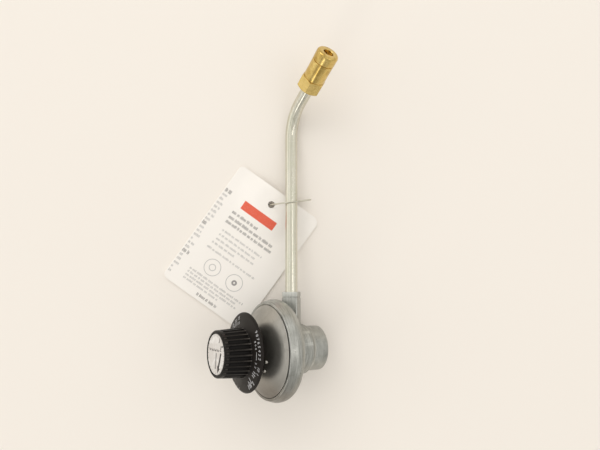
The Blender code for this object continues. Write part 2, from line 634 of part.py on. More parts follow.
# ================================================================ diaphragm stack
def build_diaphragm(parent, moving, parts, materials):
    ring_inner = CHAMBER_RADIUS - 0.5 * MM
    turned("slip_ring", [
        (FLANGE_RADIUS, SLIP_TOP_Z - SLIP_RING_THICKNESS), (FLANGE_RADIUS, SLIP_TOP_Z),
        (ring_inner, SLIP_TOP_Z), (ring_inner, SLIP_TOP_Z - SLIP_RING_THICKNESS)],
        materials["steel"], parent, parts, True, MID_STEPS)
    wave_steps = 5
    top = [(FLANGE_RADIUS, DIAPHRAGM_TOP_Z)]
    for step in range(wave_steps + 1):
        share = step / wave_steps
        radius = CONVOLUTION_RADIUS + CONVOLUTION_WIDTH * (0.5 - share)
        top.append((radius, DIAPHRAGM_TOP_Z + CONVOLUTION_HEIGHT * math.sin(math.pi * share)))
    top.append((RIVET_RADIUS + FIT, DIAPHRAGM_TOP_Z))
    bottom = [(r, z - DIAPHRAGM_THICKNESS) for r, z in reversed(top)]
    turned("diaphragm", top + bottom, materials["rubber"], parent, parts, True, MID_STEPS)
    hole = RIVET_RADIUS + FIT
    rim = PLATE_RADIUS - PLATE_THICKNESS
    turned("diaphragm_plate", [
        (PLATE_RADIUS, PLATE_BOTTOM_Z), (PLATE_RADIUS, PLATE_TOP_Z + PLATE_RIM_HEIGHT),
        (rim, PLATE_TOP_Z + PLATE_RIM_HEIGHT), (rim, PLATE_TOP_Z),
        (hole, PLATE_TOP_Z), (hole, PLATE_BOTTOM_Z)],
        materials["steel"], moving, parts, True, MID_STEPS)
    head_foot = PLATE_TOP_Z + FIT
    button_foot = BUTTON_TOP_Z - BUTTON_HEIGHT
    turned("diaphragm_pin", rounded([
        (0.0, head_foot + RIVET_HEAD_HEIGHT),
        (RIVET_HEAD_RADIUS, head_foot + RIVET_HEAD_HEIGHT, RIVET_HEAD_HEIGHT * 0.6),
        (RIVET_HEAD_RADIUS, head_foot), (RIVET_RADIUS, head_foot),
        (RIVET_RADIUS, BUTTON_TOP_Z), (BUTTON_RADIUS, BUTTON_TOP_Z),
        (BUTTON_RADIUS, button_foot), (PUSH_PIN_RADIUS, button_foot),
        (PUSH_PIN_RADIUS, PUSH_PIN_END_Z), (0.0, PUSH_PIN_END_Z)]),
        materials["brass"], moving, parts, steps=TINY_STEPS)


# ================================================================ inlet valve
def build_inlet(parent, moving, parts, cutters, materials):
    nipple = turned("inlet_nipple", [
        (NIPPLE_RADIUS, NIPPLE_TOP_Z), (NIPPLE_RADIUS, HEX_TOP_Z - NIPPLE_HEX_HEIGHT / 2.0),
        (SPIGOT_RADIUS, HEX_TOP_Z - NIPPLE_HEX_HEIGHT / 2.0),
        (SPIGOT_RADIUS, SPIGOT_END_Z + 0.6 * MM), (SPIGOT_RADIUS - 0.6 * MM, SPIGOT_END_Z),
        (NIPPLE_BORE_RADIUS, SPIGOT_END_Z), (NIPPLE_BORE_RADIUS, SEAT_Z),
        (SEAT_ORIFICE_RADIUS, SEAT_Z), (SEAT_ORIFICE_RADIUS, NIPPLE_TOP_Z)],
        materials["brass"], parent, parts, True, FINE_STEPS)
    hexagon = rods("cut_nipple_hex", NIPPLE_HEX / math.sqrt(3.0), NIPPLE_HEX_HEIGHT, 6,
                   [((0.0, 0.0, HEX_TOP_Z - NIPPLE_HEX_HEIGHT / 2.0), Matrix.Identity(3))],
                   parent, cutters)
    hex_bore = rods("cut_hex_bore", (NIPPLE_BORE_RADIUS + SPIGOT_RADIUS) / 2.0,
                    NIPPLE_HEX_HEIGHT * 2.0, FINE_STEPS,
                    [((0.0, 0.0, HEX_TOP_Z - NIPPLE_HEX_HEIGHT / 2.0), Matrix.Identity(3))],
                    parent, cutters)
    combine(hexagon, hex_bore, "DIFFERENCE")
    combine(nipple, hexagon, "UNION")
    seal_bore = SPIGOT_RADIUS + FIT
    turned("inlet_seal_ring", rounded([
        (seal_bore, SEAL_TOP_Z - SEAL_HEIGHT), (SEAL_RADIUS, SEAL_TOP_Z - SEAL_HEIGHT, 0.5 * MM),
        (SEAL_RADIUS, SEAL_TOP_Z), (seal_bore, SEAL_TOP_Z)]),
        materials["rubber"], parent, parts, True, FINE_STEPS)
    bore = RETAINER_BORE_RADIUS
    turned("valve_retainer", [
        (PLUG_RADIUS, RETAINER_TOP_Z - RETAINER_HEIGHT), (PLUG_RADIUS, RETAINER_TOP_Z),
        (bore, RETAINER_TOP_Z), (bore, RETAINER_TOP_Z - RETAINER_HEIGHT)],
        materials["brass"], parent, parts, True, TINY_STEPS)
    turned("inlet_filter", [
        (0.0, FILTER_TOP_Z), (PLUG_RADIUS, FILTER_TOP_Z),
        (PLUG_RADIUS, FILTER_TOP_Z - FILTER_HEIGHT), (0.0, FILTER_TOP_Z - FILTER_HEIGHT)],
        materials["filter"], parent, parts, steps=TINY_STEPS)
    pin_end = SPIGOT_END_Z - DEPRESSOR_REACH
    spider_foot = SPIDER_TOP_Z - SPIDER_HEIGHT
    spider = turned("depressor_pin", rounded([
        (0.0, SPIDER_TOP_Z), (PLUG_RADIUS, SPIDER_TOP_Z), (PLUG_RADIUS, spider_foot),
        (DEPRESSOR_RADIUS, spider_foot), (DEPRESSOR_RADIUS, pin_end, DEPRESSOR_RADIUS * 0.6),
        (0.0, pin_end)]), materials["steel"], parent, parts, steps=TINY_STEPS)
    ring = (DEPRESSOR_RADIUS + PLUG_RADIUS) / 2.0
    spots = []
    for index in range(SPIDER_HOLES):
        angle = TAU * index / SPIDER_HOLES
        spots.append(((ring * math.cos(angle), ring * math.sin(angle), SPIDER_TOP_Z),
                      Matrix.Identity(3)))
    holes = rods("cut_spider_holes", SPIDER_HOLE_RADIUS, 4.0 * SPIDER_HEIGHT, 8, spots,
                 parent, cutters)
    combine(spider, holes, "DIFFERENCE")
    turned("valve_poppet", [
        (0.0, POPPET_PIN_TOP_Z), (POPPET_PIN_RADIUS, POPPET_PIN_TOP_Z),
        (POPPET_PIN_RADIUS, POPPET_TOP_Z), (POPPET_RADIUS, POPPET_TOP_Z),
        (POPPET_RADIUS, POPPET_BOTTOM_Z), (POPPET_TAIL_RADIUS, POPPET_BOTTOM_Z),
        (POPPET_TAIL_RADIUS, POPPET_BOTTOM_Z - POPPET_TAIL), (0.0, POPPET_BOTTOM_Z - POPPET_TAIL)],
        materials["brass"], moving, parts, steps=TINY_STEPS)
    seal_hole = POPPET_PIN_RADIUS + SMALL_FIT
    turned("poppet_seal", [
        (POPPET_RADIUS, POPPET_SEAL_TOP_Z - POPPET_SEAL_HEIGHT),
        (POPPET_RADIUS, POPPET_SEAL_TOP_Z), (seal_hole, POPPET_SEAL_TOP_Z),
        (seal_hole, POPPET_SEAL_TOP_Z - POPPET_SEAL_HEIGHT)],
        materials["rubber"], moving, parts, True, TINY_STEPS)
    coil("poppet_spring", VALVE_SPRING_MEAN_RADIUS, VALVE_SPRING_WIRE,
         VALVE_SPRING_TOP_Z - VALVE_SPRING_LENGTH, VALVE_SPRING_TOP_Z, VALVE_SPRING_CURLS,
         materials["spring"], parent, parts)


# ================================================================ adjuster and knob
def build_adjuster(parent, knob, nut_frame, parts, cutters, materials):
    turned("stem_bush", [
        (BUSH_FLANGE_RADIUS, BUSH_FOOT_Z), (BUSH_FLANGE_RADIUS, BUSH_FOOT_Z + BUSH_FLANGE),
        (BUSH_RADIUS, BUSH_FOOT_Z + BUSH_FLANGE), (BUSH_RADIUS, TOWER_TOP_Z),
        (STEM_RADIUS + FIT, TOWER_TOP_Z), (STEM_RADIUS + FIT, BUSH_FOOT_Z)],
        materials["bush"], parent, parts, True, FINE_STEPS)
    clip_foot = CLIP_Z - FIT / 2.0
    clip_top = CLIP_Z + CLIP_THICKNESS + FIT / 2.0
    stem = turned("adjusting_stem", [
        (0.0, STEM_TOP_Z), (STEM_RADIUS - 0.4 * MM, STEM_TOP_Z),
        (STEM_RADIUS, STEM_TOP_Z - 0.4 * MM), (STEM_RADIUS, clip_top),
        (CLIP_GROOVE_RADIUS, clip_top), (CLIP_GROOVE_RADIUS, clip_foot),
        (STEM_RADIUS, clip_foot), (STEM_RADIUS, COLLAR_TOP_Z),
        (STEM_COLLAR_RADIUS, COLLAR_TOP_Z), (STEM_COLLAR_RADIUS, COLLAR_FOOT_Z),
        (SCREW_RADIUS, COLLAR_FOOT_Z), (SCREW_RADIUS, SCREW_END_Z + 0.5 * MM),
        (SCREW_RADIUS - 0.5 * MM, SCREW_END_Z), (0.0, SCREW_END_Z)],
        materials["steel"], knob, parts, steps=FINE_STEPS)
    flat_low = HUB_FOOT_Z + 1.0 * MM
    flat_high = STEM_TOP_Z + 1.0 * MM
    flat = box("cut_stem_flat", (STEM_RADIUS, 4.0 * STEM_RADIUS, flat_high - flat_low),
               (STEM_FLAT + STEM_RADIUS / 2.0, 0.0, (flat_low + flat_high) / 2.0), knob, cutters)
    combine(stem, flat, "DIFFERENCE")
    clip = turned("stem_clip", [
        (CLIP_RADIUS, CLIP_Z), (CLIP_RADIUS, CLIP_Z + CLIP_THICKNESS),
        (CLIP_GROOVE_RADIUS + SMALL_FIT, CLIP_Z + CLIP_THICKNESS),
        (CLIP_GROOVE_RADIUS + SMALL_FIT, CLIP_Z)],
        materials["spring"], knob, parts, True, FINE_STEPS)
    mouth = box("cut_clip_mouth", (CLIP_RADIUS * 2.0, CLIP_GROOVE_RADIUS * 1.6,
                                   CLIP_THICKNESS * 4.0),
                (-CLIP_RADIUS, 0.0, CLIP_Z), knob, cutters)
    combine(clip, mouth, "DIFFERENCE")
    nut_foot = NUT_TOP_Z - NUT_HEIGHT
    nut = turned("spring_nut", [
        (NUT_RADIUS, nut_foot), (NUT_RADIUS, NUT_TOP_Z),
        (SCREW_RADIUS + FIT, NUT_TOP_Z), (SCREW_RADIUS + FIT, nut_foot)],
        materials["brass"], nut_frame, parts, True, FINE_STEPS)
    key_span = (KEYWAY_RADIUS - FIT) * 2.0
    keys = box("cut_nut_keys", (key_span, KEY_WIDTH, KEY_HEIGHT),
               (0.0, 0.0, NUT_TOP_Z - NUT_HEIGHT / 2.0), nut_frame, cutters)
    key_gap = rods("cut_key_gap", (SCREW_RADIUS + FIT + NUT_RADIUS) / 2.0, NUT_HEIGHT * 2.0,
                   FINE_STEPS, [((0.0, 0.0, NUT_TOP_Z), Matrix.Identity(3))], nut_frame, cutters)
    combine(keys, key_gap, "DIFFERENCE")
    combine(nut, keys, "UNION")
    coil("main_spring", SPRING_MEAN_RADIUS, SPRING_WIRE, PLATE_TOP_Z + FIT, nut_foot - FIT,
         SPRING_CURLS, materials["spring"], parent, parts)


def build_knob(knob, parts, cutters, materials):
    recess = LABEL_RADIUS + FIT
    cavity = KNOB_FOOT_RADIUS - KNOB_WALL
    ceiling = RECESS_FLOOR_Z - KNOB_WALL * 0.75
    bore = STEM_RADIUS + FIT
    bore_top = STEM_TOP_Z + FIT
    profile = rounded([
        (0.0, RECESS_FLOOR_Z), (recess, RECESS_FLOOR_Z), (recess, KNOB_TOP_Z),
        (KNOB_FACE_RADIUS, KNOB_TOP_Z, KNOB_FACE_ROUND),
        (KNOB_FOOT_RADIUS, SKIRT_TOP_Z, 0.8 * MM),
        (SKIRT_RADIUS - 1.0 * MM, SKIRT_EDGE_Z + SKIRT_THICKNESS, 0.8 * MM),
        (SKIRT_RADIUS, SKIRT_EDGE_Z + SKIRT_THICKNESS / 2.0),
        (SKIRT_RADIUS, SKIRT_EDGE_Z), (SKIRT_RADIUS - SKIRT_THICKNESS, SKIRT_EDGE_Z),
        (KNOB_FOOT_RADIUS, SKIRT_TOP_Z - SKIRT_THICKNESS), (cavity, SKIRT_TOP_Z - SKIRT_THICKNESS),
        (cavity - 0.5 * MM, ceiling, 1.0 * MM), (HUB_RADIUS, ceiling), (HUB_RADIUS, HUB_FOOT_Z),
        (bore, HUB_FOOT_Z), (bore, bore_top), (0.0, bore_top)])
    body = turned("knob", profile, materials["knob"], knob, parts, steps=KNOB_STEPS)
    flute_low = SKIRT_TOP_Z + 0.5 * MM
    lean = math.atan2(KNOB_FOOT_RADIUS - KNOB_FACE_RADIUS, KNOB_TOP_Z - SKIRT_TOP_Z)
    middle = (flute_low + FLUTE_TOP_Z) / 2.0
    wall = KNOB_FOOT_RADIUS - (middle - SKIRT_TOP_Z) * math.tan(lean)
    ring = wall + FLUTE_RADIUS - FLUTE_DEPTH
    spots = []
    for index in range(FLUTES):
        angle = TAU * (index + 0.5) / FLUTES
        turn = Matrix.Rotation(angle, 3, "Z") @ Matrix.Rotation(-lean, 3, "Y")
        spots.append(((ring * math.cos(angle), ring * math.sin(angle), middle), turn))
    flutes = rods("cut_flutes", FLUTE_RADIUS, (FLUTE_TOP_Z - flute_low) / math.cos(lean),
                  FLUTE_SIDES, spots, knob, cutters)
    combine(body, flutes, "DIFFERENCE")
    # the D of the bore, so that the knob turns the stem
    flat_low = HUB_FOOT_Z + 1.0 * MM + FIT
    flat_x = STEM_FLAT + FIT
    key = box("cut_knob_flat", (HUB_RADIUS - 1.0 * MM - flat_x, bore * 1.6,
                                bore_top + 0.5 * MM - flat_low),
              ((HUB_RADIUS - 1.0 * MM + flat_x) / 2.0, 0.0,
               (bore_top + 0.5 * MM + flat_low) / 2.0), knob, cutters)
    combine(body, key, "UNION")
    turned("knob_face_disc", rounded([
        (0.0, LABEL_FOOT_Z), (LABEL_RADIUS, LABEL_FOOT_Z),
        (LABEL_RADIUS, LABEL_FOOT_Z + LABEL_THICKNESS, 0.2 * MM),
        (0.0, LABEL_FOOT_Z + LABEL_THICKNESS)]), materials["label"], knob, parts, steps=MID_STEPS)


# ================================================================ outlet
def build_outlet(parent, parts, cutters, materials):
    path, direction = tube_path()
    tube = wire_mesh("outlet_tube", path, TUBE_DIAMETER, TUBE_SIDES_RESOLUTION,
                     materials["nickel"], parent, parts)
    longer = [path[0] - Vector((0.0, OVERCUT, 0.0))] + path[1:-1]
    longer.append(path[-1] + direction * OVERCUT)
    bore = wire_mesh("cut_tube_inside", longer, TUBE_BORE, TUBE_SIDES_RESOLUTION, None,
                     parent, cutters)
    combine(tube, bore, "DIFFERENCE")
    nozzle_frame = bpy.data.objects.new("nozzle_frame", None)
    parts.objects.link(nozzle_frame)
    nozzle_frame.parent = parent
    foot = path[-1] - direction * (TUBE_IN_NOZZLE - FIT)
    nozzle_frame.location = foot
    nozzle_frame.rotation_euler = (direction.to_track_quat("Z", "Y").to_matrix()
                                   @ Matrix.Rotation(math.radians(NOZZLE_TURN), 3, "Z")).to_euler()
    corner = NOZZLE_HEX / math.sqrt(3.0)
    nozzle = rods("nozzle_body", corner, NOZZLE_HEX_LENGTH, 6,
                  [((0.0, 0.0, NOZZLE_HEX_LENGTH / 2.0), Matrix.Identity(3))],
                  nozzle_frame, parts)
    nozzle.data.materials.append(materials["brass"])
    flats = NOZZLE_HEX / 2.0
    chamfer = turned("cut_hex_chamfer", [
        (0.0, -0.01 * MM), (flats - 0.3 * MM, -0.01 * MM), (corner + 0.2 * MM, NOZZLE_HEX_CHAMFER),
        (corner + 0.2 * MM, NOZZLE_HEX_LENGTH - NOZZLE_HEX_CHAMFER * 0.6),
        (flats, NOZZLE_HEX_LENGTH + 0.01 * MM), (0.0, NOZZLE_HEX_LENGTH + 0.01 * MM)],
        None, nozzle_frame, cutters, steps=MID_STEPS)
    combine(nozzle, chamfer, "INTERSECT")
    groove_end = NOZZLE_GROOVE_AT + NOZZLE_GROOVE_WIDTH
    barrel = turned("cut_barrel", rounded([
        (0.0, NOZZLE_HEX_LENGTH - 1.0 * MM), (flats - 0.2 * MM, NOZZLE_HEX_LENGTH - 1.0 * MM),
        (flats - 0.2 * MM, NOZZLE_HEX_LENGTH + 0.6 * MM),
        (NOZZLE_RADIUS, NOZZLE_HEX_LENGTH + 1.2 * MM), (NOZZLE_RADIUS, NOZZLE_GROOVE_AT),
        (NOZZLE_RADIUS - NOZZLE_GROOVE_DEPTH, NOZZLE_GROOVE_AT + 0.2 * MM),
        (NOZZLE_RADIUS - NOZZLE_GROOVE_DEPTH, groove_end - 0.2 * MM),
        (NOZZLE_COLLAR_RADIUS, groove_end),
        (NOZZLE_COLLAR_RADIUS, NOZZLE_LENGTH, NOZZLE_COLLAR_ROUND), (0.0, NOZZLE_LENGTH)], 3),
        None, nozzle_frame, cutters, steps=MID_STEPS)
    combine(nozzle, barrel, "UNION")
    tube_hole = TUBE_RADIUS + FIT
    jet_floor = NOZZLE_LENGTH - JET_BORE_DEPTH
    way = turned("cut_nozzle_way", [
        (0.0, -OVERCUT), (tube_hole, -OVERCUT), (tube_hole, TUBE_IN_NOZZLE),
        (NOZZLE_WAY_RADIUS, TUBE_IN_NOZZLE), (NOZZLE_WAY_RADIUS, jet_floor),
        (JET_BORE_RADIUS, jet_floor), (JET_BORE_RADIUS, NOZZLE_LENGTH + OVERCUT),
        (0.0, NOZZLE_LENGTH + OVERCUT)], None, nozzle_frame, cutters, steps=FINE_STEPS)
    combine(nozzle, way, "DIFFERENCE")
    jet_foot = jet_floor + FIT
    jet_radius = JET_BORE_RADIUS - SMALL_FIT
    jet = turned("orifice_jet", [
        (jet_radius, jet_foot), (jet_radius, jet_foot + JET_LENGTH),
        (JET_ORIFICE_RADIUS, jet_foot + JET_LENGTH), (JET_ORIFICE_RADIUS, jet_foot)],
        materials["jet"], nozzle_frame, parts, True, TINY_STEPS)
    slot = box("cut_jet_slot", (4.0 * jet_radius, JET_SLOT, JET_SLOT * 2.0),
               (0.0, 0.0, jet_foot + JET_LENGTH), nozzle_frame, cutters)
    combine(jet, slot, "DIFFERENCE")
    return nozzle_frame


# ================================================================ tag and tie
def smooth_fall(distance):
    share = min(1.0, max(0.0, (distance - TAG_LIFT_INNER) / (TAG_LIFT_OUTER - TAG_LIFT_INNER)))
    return 1.0 - share * share * (3.0 - 2.0 * share)


def build_tag(frame, parts, cutters, material):
    """A sheet folded along its left edge, lifted round the hole; origin at the hole."""
    leaf = PAPER + LEAF_GAP
    bend = leaf / 2.0
    low = TAG_CLEAR + PAPER / 2.0
    near = TAG_HOLE_V + TAG_LIFT_OUTER
    rows = [near * index / TAG_ROWS for index in range(TAG_ROWS + 1)] + [TAG_HEIGHT]
    spread = [TAG_WIDTH * index / TAG_COLUMNS for index in range(TAG_COLUMNS, 0, -1)]
    section = [(u, low) for u in spread]
    for step in range(FOLD_STEPS + 1):
        angle = math.pi * step / FOLD_STEPS
        section.append((bend * (1.0 - math.sin(angle)), low + bend * (1.0 - math.cos(angle))))
    section += [(u, low + leaf) for u in reversed(spread)]
    mesh = bpy.data.meshes.new("paper_tag")
    shape = bmesh.new()
    grid = []
    for v in rows:
        line = []
        for u, z in section:
            away = math.hypot(u - TAG_HOLE_U, v - TAG_HOLE_V)
            lift = TAG_LIFT * smooth_fall(away)
            line.append(shape.verts.new((u - TAG_HOLE_U, TAG_HOLE_V - v, z + lift)))
        grid.append(line)
    for above, below in zip(grid, grid[1:]):
        for index in range(len(section) - 1):
            shape.faces.new((above[index], above[index + 1], below[index + 1], below[index]))
    bmesh.ops.recalc_face_normals(shape, faces=shape.faces)
    shape.to_mesh(mesh)
    shape.free()
    mesh.shade_smooth()
    tag = place(bpy.data.objects.new("paper_tag", mesh), frame, parts, material)
    solid = tag.modifiers.new("paper", "SOLIDIFY")
    solid.thickness = PAPER
    solid.offset = 0.0
    outline = bpy.data.meshes.new("cut_tag_outline")
    shape = bmesh.new()
    bmesh.ops.create_cube(shape, size=1.0)
    tall = 4.0 * (TAG_LIFT + leaf + TAG_CLEAR)
    reach = TAG_WIDTH + leaf
    bmesh.ops.scale(shape, verts=shape.verts, vec=(reach, TAG_HEIGHT - 0.1 * MM, tall))
    posts = [edge for edge in shape.edges
             if abs(edge.verts[0].co.z - edge.verts[1].co.z) > tall / 2.0]
    bmesh.ops.bevel(shape, geom=posts, offset=TAG_CORNER, segments=6, profile=0.5,
                    affect="EDGES")
    shape.to_mesh(outline)
    shape.free()
    trim = place(bpy.data.objects.new("cut_tag_outline", outline), frame, cutters, None)
    trim.location = (TAG_WIDTH - 0.1 * MM - reach / 2.0 - TAG_HOLE_U,
                     TAG_HOLE_V - TAG_HEIGHT / 2.0, 0.0)
    combine(tag, trim, "INTERSECT")
    hole = rods("cut_tag_hole", TAG_HOLE_RADIUS, tall, TINY_STEPS,
                [((0.0, 0.0, TAG_LIFT), Matrix.Identity(3))], frame, cutters)
    combine(tag, hole, "DIFFERENCE")
    return tag


def smoothed_loop(corners, steps):
    """Closed Catmull-Rom curve through the corners."""
    points = []
    count = len(corners)
    for index in range(count):
        before = corners[index - 1]
        here = corners[index]
        after = corners[(index + 1) % count]
        beyond = corners[(index + 2) % count]
        for step in range(steps):
            t = step / steps
            points.append(0.5 * ((2.0 * here) + (after - before) * t
                                 + (2.0 * before - 5.0 * here + 4.0 * after - beyond) * t * t
                                 + (3.0 * here - before - 3.0 * after + beyond) * t ** 3))
    return points


def build_tie(frame, parts, material, cross, tube_height):
    """A wire loop up through the tag's hole and over the tube; origin at the hole.

    cross is where the loop passes the tube's axis, tube_height that axis's height there.
    """
    over = tube_height + TUBE_RADIUS + FIT + TIE_RADIUS
    under = TIE_RADIUS + FIT
    paper = TAG_CLEAR + TAG_LIFT + 2.0 * PAPER + LEAF_GAP
    hole = TAG_HOLE_RADIUS
    corners = [
        (hole * -0.30, paper), (hole * 0.13, (paper + under) / 2.0),
        (hole * 1.30, under + 0.1 * MM), (TIE_REACH * 0.34, under),
        (TIE_REACH * 0.53, under + 0.2 * MM), (TIE_REACH * 0.71, under + over * 0.05),
        (TIE_REACH * 0.86, under + over * 0.14), (TIE_REACH * 0.97, over * 0.5),
        (TIE_REACH, over * 0.66), (TIE_REACH * 0.93, over * 0.8),
        (TIE_REACH * 0.756, over * 0.93), (cross, over),
        (cross * 0.5, over * 0.84), (hole * 0.70, over * 0.52),
    ]
    points = smoothed_loop([Vector((s, 0.0, z)) for s, z in corners], 4)
    return wire_mesh("wire_tie", points, TIE_WIRE, 1, material, frame, parts, cyclic=True)


# ================================================================ assembly
def new_frame(name, parent, collection):
    frame = bpy.data.objects.new(name, None)
    collection.objects.link(frame)
    frame.parent = parent
    return frame


def build():
    clear_scene()
    parts = new_collection("gas_regulator_with_outlet_tube")
    cutters = new_collection("cutters")
    materials = {
        "casting": make_material("die_cast_zinc", (0.40, 0.40, 0.35), 0.38, 0.9),
        "cover": make_material("cover_zinc", (0.36, 0.34, 0.29), 0.35, 0.9),
        "nickel": make_material("nickel_plate", (0.70, 0.69, 0.60), 0.22, 1.0),
        "brass": make_material("brass", (0.66, 0.53, 0.27), 0.3, 1.0),
        "jet": make_material("jet_brass", (0.55, 0.42, 0.20), 0.35, 1.0),
        "steel": make_material("zinc_plated_steel", (0.58, 0.58, 0.56), 0.35, 1.0),
        "spring": make_material("spring_steel", (0.42, 0.42, 0.42), 0.35, 1.0),
        "rubber": make_material("nitrile_rubber", (0.03, 0.03, 0.03), 0.75, 0.0),
        "bush": make_material("acetal_bush", (0.80, 0.79, 0.74), 0.5, 0.0),
        "filter": make_material("sintered_filter", (0.50, 0.40, 0.24), 0.8, 0.8),
        "knob": make_material("black_plastic", (0.015, 0.015, 0.017), 0.25, 0.0),
        "label": make_material("white_label", (0.80, 0.80, 0.78), 0.45, 0.0),
        "paper": make_material("tag_paper", (0.84, 0.83, 0.76), 0.85, 0.0),
        "wire": make_material("tie_wire", (0.55, 0.55, 0.52), 0.3, 1.0),
    }
    bench = new_frame("bench", None, parts)
    pose, height = resting_pose()
    regulator = new_frame("regulator_frame", bench, parts)
    regulator.matrix_local = Matrix.Translation((0.0, 0.0, height)) @ pose.to_4x4()
    knob_axis = new_frame("knob_axis", regulator, parts)
    nut_axis = new_frame("nut_axis", regulator, parts)
    plate_axis = new_frame("diaphragm_axis", regulator, parts)
    poppet_axis = new_frame("poppet_axis", regulator, parts)
    build_casting(regulator, parts, cutters, materials["casting"])
    build_cover(regulator, parts, cutters, materials["cover"])
    build_diaphragm(regulator, plate_axis, parts, materials)
    build_inlet(regulator, poppet_axis, parts, cutters, materials)
    build_adjuster(regulator, knob_axis, nut_axis, parts, cutters, materials)
    build_knob(knob_axis, parts, cutters, materials)
    nozzle_frame = build_outlet(regulator, parts, cutters, materials)

    # the tag lies beside the tube; its frame stands at the hole, on the floor
    along = pose @ Vector((0.0, 1.0, 0.0))
    tube_foot = pose @ Vector((0.0, 0.0, BOSS_AXIS_Z))
    hole = Vector((tube_foot.x - HOLE_FROM_TUBE, HOLE_ALONG_TUBE * along.y, 0.0))
    tie_turn = math.radians(TIE_TURN)
    cross = HOLE_FROM_TUBE / math.cos(tie_turn)
    cross_y = hole.y + cross * math.sin(tie_turn)
    tube_height = height + tube_foot.z + along.z * (cross_y - tube_foot.y) / along.y
    tie_frame = new_frame("tie_frame", bench, parts)
    tie_frame.location = hole
    tie_frame.rotation_euler = (0.0, 0.0, tie_turn)
    build_tie(tie_frame, parts, materials["wire"], cross, tube_height)
    tag_frame = new_frame("tag_frame", bench, parts)
    tag_frame.location = hole
    tag_frame.rotation_euler = (0.0, 0.0, math.radians(TAG_TURN))
    build_tag(tag_frame, parts, cutters, materials["paper"])

    # the world origin goes under the middle of the part's box
    cutters.hide_render = True
    bpy.context.view_layer.update()
    graph = bpy.context.evaluated_depsgraph_get()
    corners = []
    for obj in parts.objects:
        if obj.type != "MESH":
            continue
        shown = obj.evaluated_get(graph)
        mesh = shown.to_mesh()
        corners += [shown.matrix_world @ vert.co for vert in mesh.vertices]
        shown.to_mesh_clear()
    low = Vector([min(point[axis] for point in corners) for axis in range(3)])
    high = Vector([max(point[axis] for point in corners) for axis in range(3)])
    bench.location = (-(low.x + high.x) / 2.0, -(low.y + high.y) / 2.0, -low.z)
    bpy.context.view_layer.update()
    size = (high - low) / MM
    print(f"box {size.x:.2f} x {size.y:.2f} x {size.z:.2f} mm, lowest {low.z / MM:.3f}")

    def report(name, frame, point, axis):
        where = frame.matrix_world @ Vector(point)
        way = (frame.matrix_world.to_3x3() @ Vector(axis)).normalized()
        print(f"{name}: at {tuple(round(value, 6) for value in where)}"
              f" axis {tuple(round(value, 6) for value in way)}")

    report("knob_axis", knob_axis, (0.0, 0.0, KNOB_TOP_Z), (0.0, 0.0, 1.0))
    mouth_ring = (SOCKET_BORE_RADIUS + THREAD_LEAD_IN + SOCKET_RADIUS - SOCKET_CHAMFER) / 2.0
    report("inlet_mouth", regulator, (mouth_ring, 0.0, SOCKET_END_Z), (0.0, 0.0, -1.0))
    report("mouth_centre", regulator, (0.0, 0.0, SOCKET_END_Z), (0.0, 0.0, -1.0))
    end_ring = (JET_BORE_RADIUS + NOZZLE_COLLAR_RADIUS - NOZZLE_COLLAR_ROUND) / 2.0
    report("nozzle_end", nozzle_frame, (end_ring, 0.0, NOZZLE_LENGTH), (0.0, 0.0, 1.0))
    report("nozzle_foot", nozzle_frame, (0.0, 0.0, 0.0), (0.0, 0.0, 1.0))
    report("seam_centre", regulator, (0.0, 0.0, 0.0), (0.0, 1.0, 0.0))
    report("tag_hole", tag_frame, (0.0, 0.0, 0.0), (0.0, 0.0, 1.0))
    report("tie", tie_frame, (0.0, 0.0, 0.0), (1.0, 0.0, 0.0))


build()
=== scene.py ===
"""Looks of the gas regulator with its rigid outlet tube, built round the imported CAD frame.

Lengths in the shape code are millimetres in the casing frame: +Z along the knob axis towards
the knob, +Y along the outlet tube, z = 0 on the seam between cover and casting. Matrices that
place the pieces turn millimetres into the frame's metres.
"""

import json
import random
from math import atan2, ceil, cos, hypot, pi, radians, sin, sqrt, tan, tau

import bmesh
import bpy
from mathutils import Matrix, Quaternion, Vector


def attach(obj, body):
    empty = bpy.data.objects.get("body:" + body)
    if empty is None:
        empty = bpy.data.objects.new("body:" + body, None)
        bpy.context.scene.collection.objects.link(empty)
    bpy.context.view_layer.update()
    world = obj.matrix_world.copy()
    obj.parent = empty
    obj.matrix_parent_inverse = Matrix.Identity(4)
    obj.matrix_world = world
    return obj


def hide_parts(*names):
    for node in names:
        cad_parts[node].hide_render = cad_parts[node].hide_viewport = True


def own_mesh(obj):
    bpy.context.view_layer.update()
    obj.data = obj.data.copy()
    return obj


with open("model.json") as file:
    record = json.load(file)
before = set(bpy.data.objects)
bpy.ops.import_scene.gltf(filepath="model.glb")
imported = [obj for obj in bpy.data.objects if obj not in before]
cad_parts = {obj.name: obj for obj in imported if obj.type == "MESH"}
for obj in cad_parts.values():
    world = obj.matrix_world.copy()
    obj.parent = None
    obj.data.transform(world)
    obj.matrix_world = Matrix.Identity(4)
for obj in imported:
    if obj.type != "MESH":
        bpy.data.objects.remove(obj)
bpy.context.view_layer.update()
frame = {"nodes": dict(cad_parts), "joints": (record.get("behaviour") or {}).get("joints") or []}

MM = 0.001
TO_METRES = Matrix.Diagonal((MM, MM, MM, 1))
GAP = 0.3  # the clearance that the CAD keeps between pieces

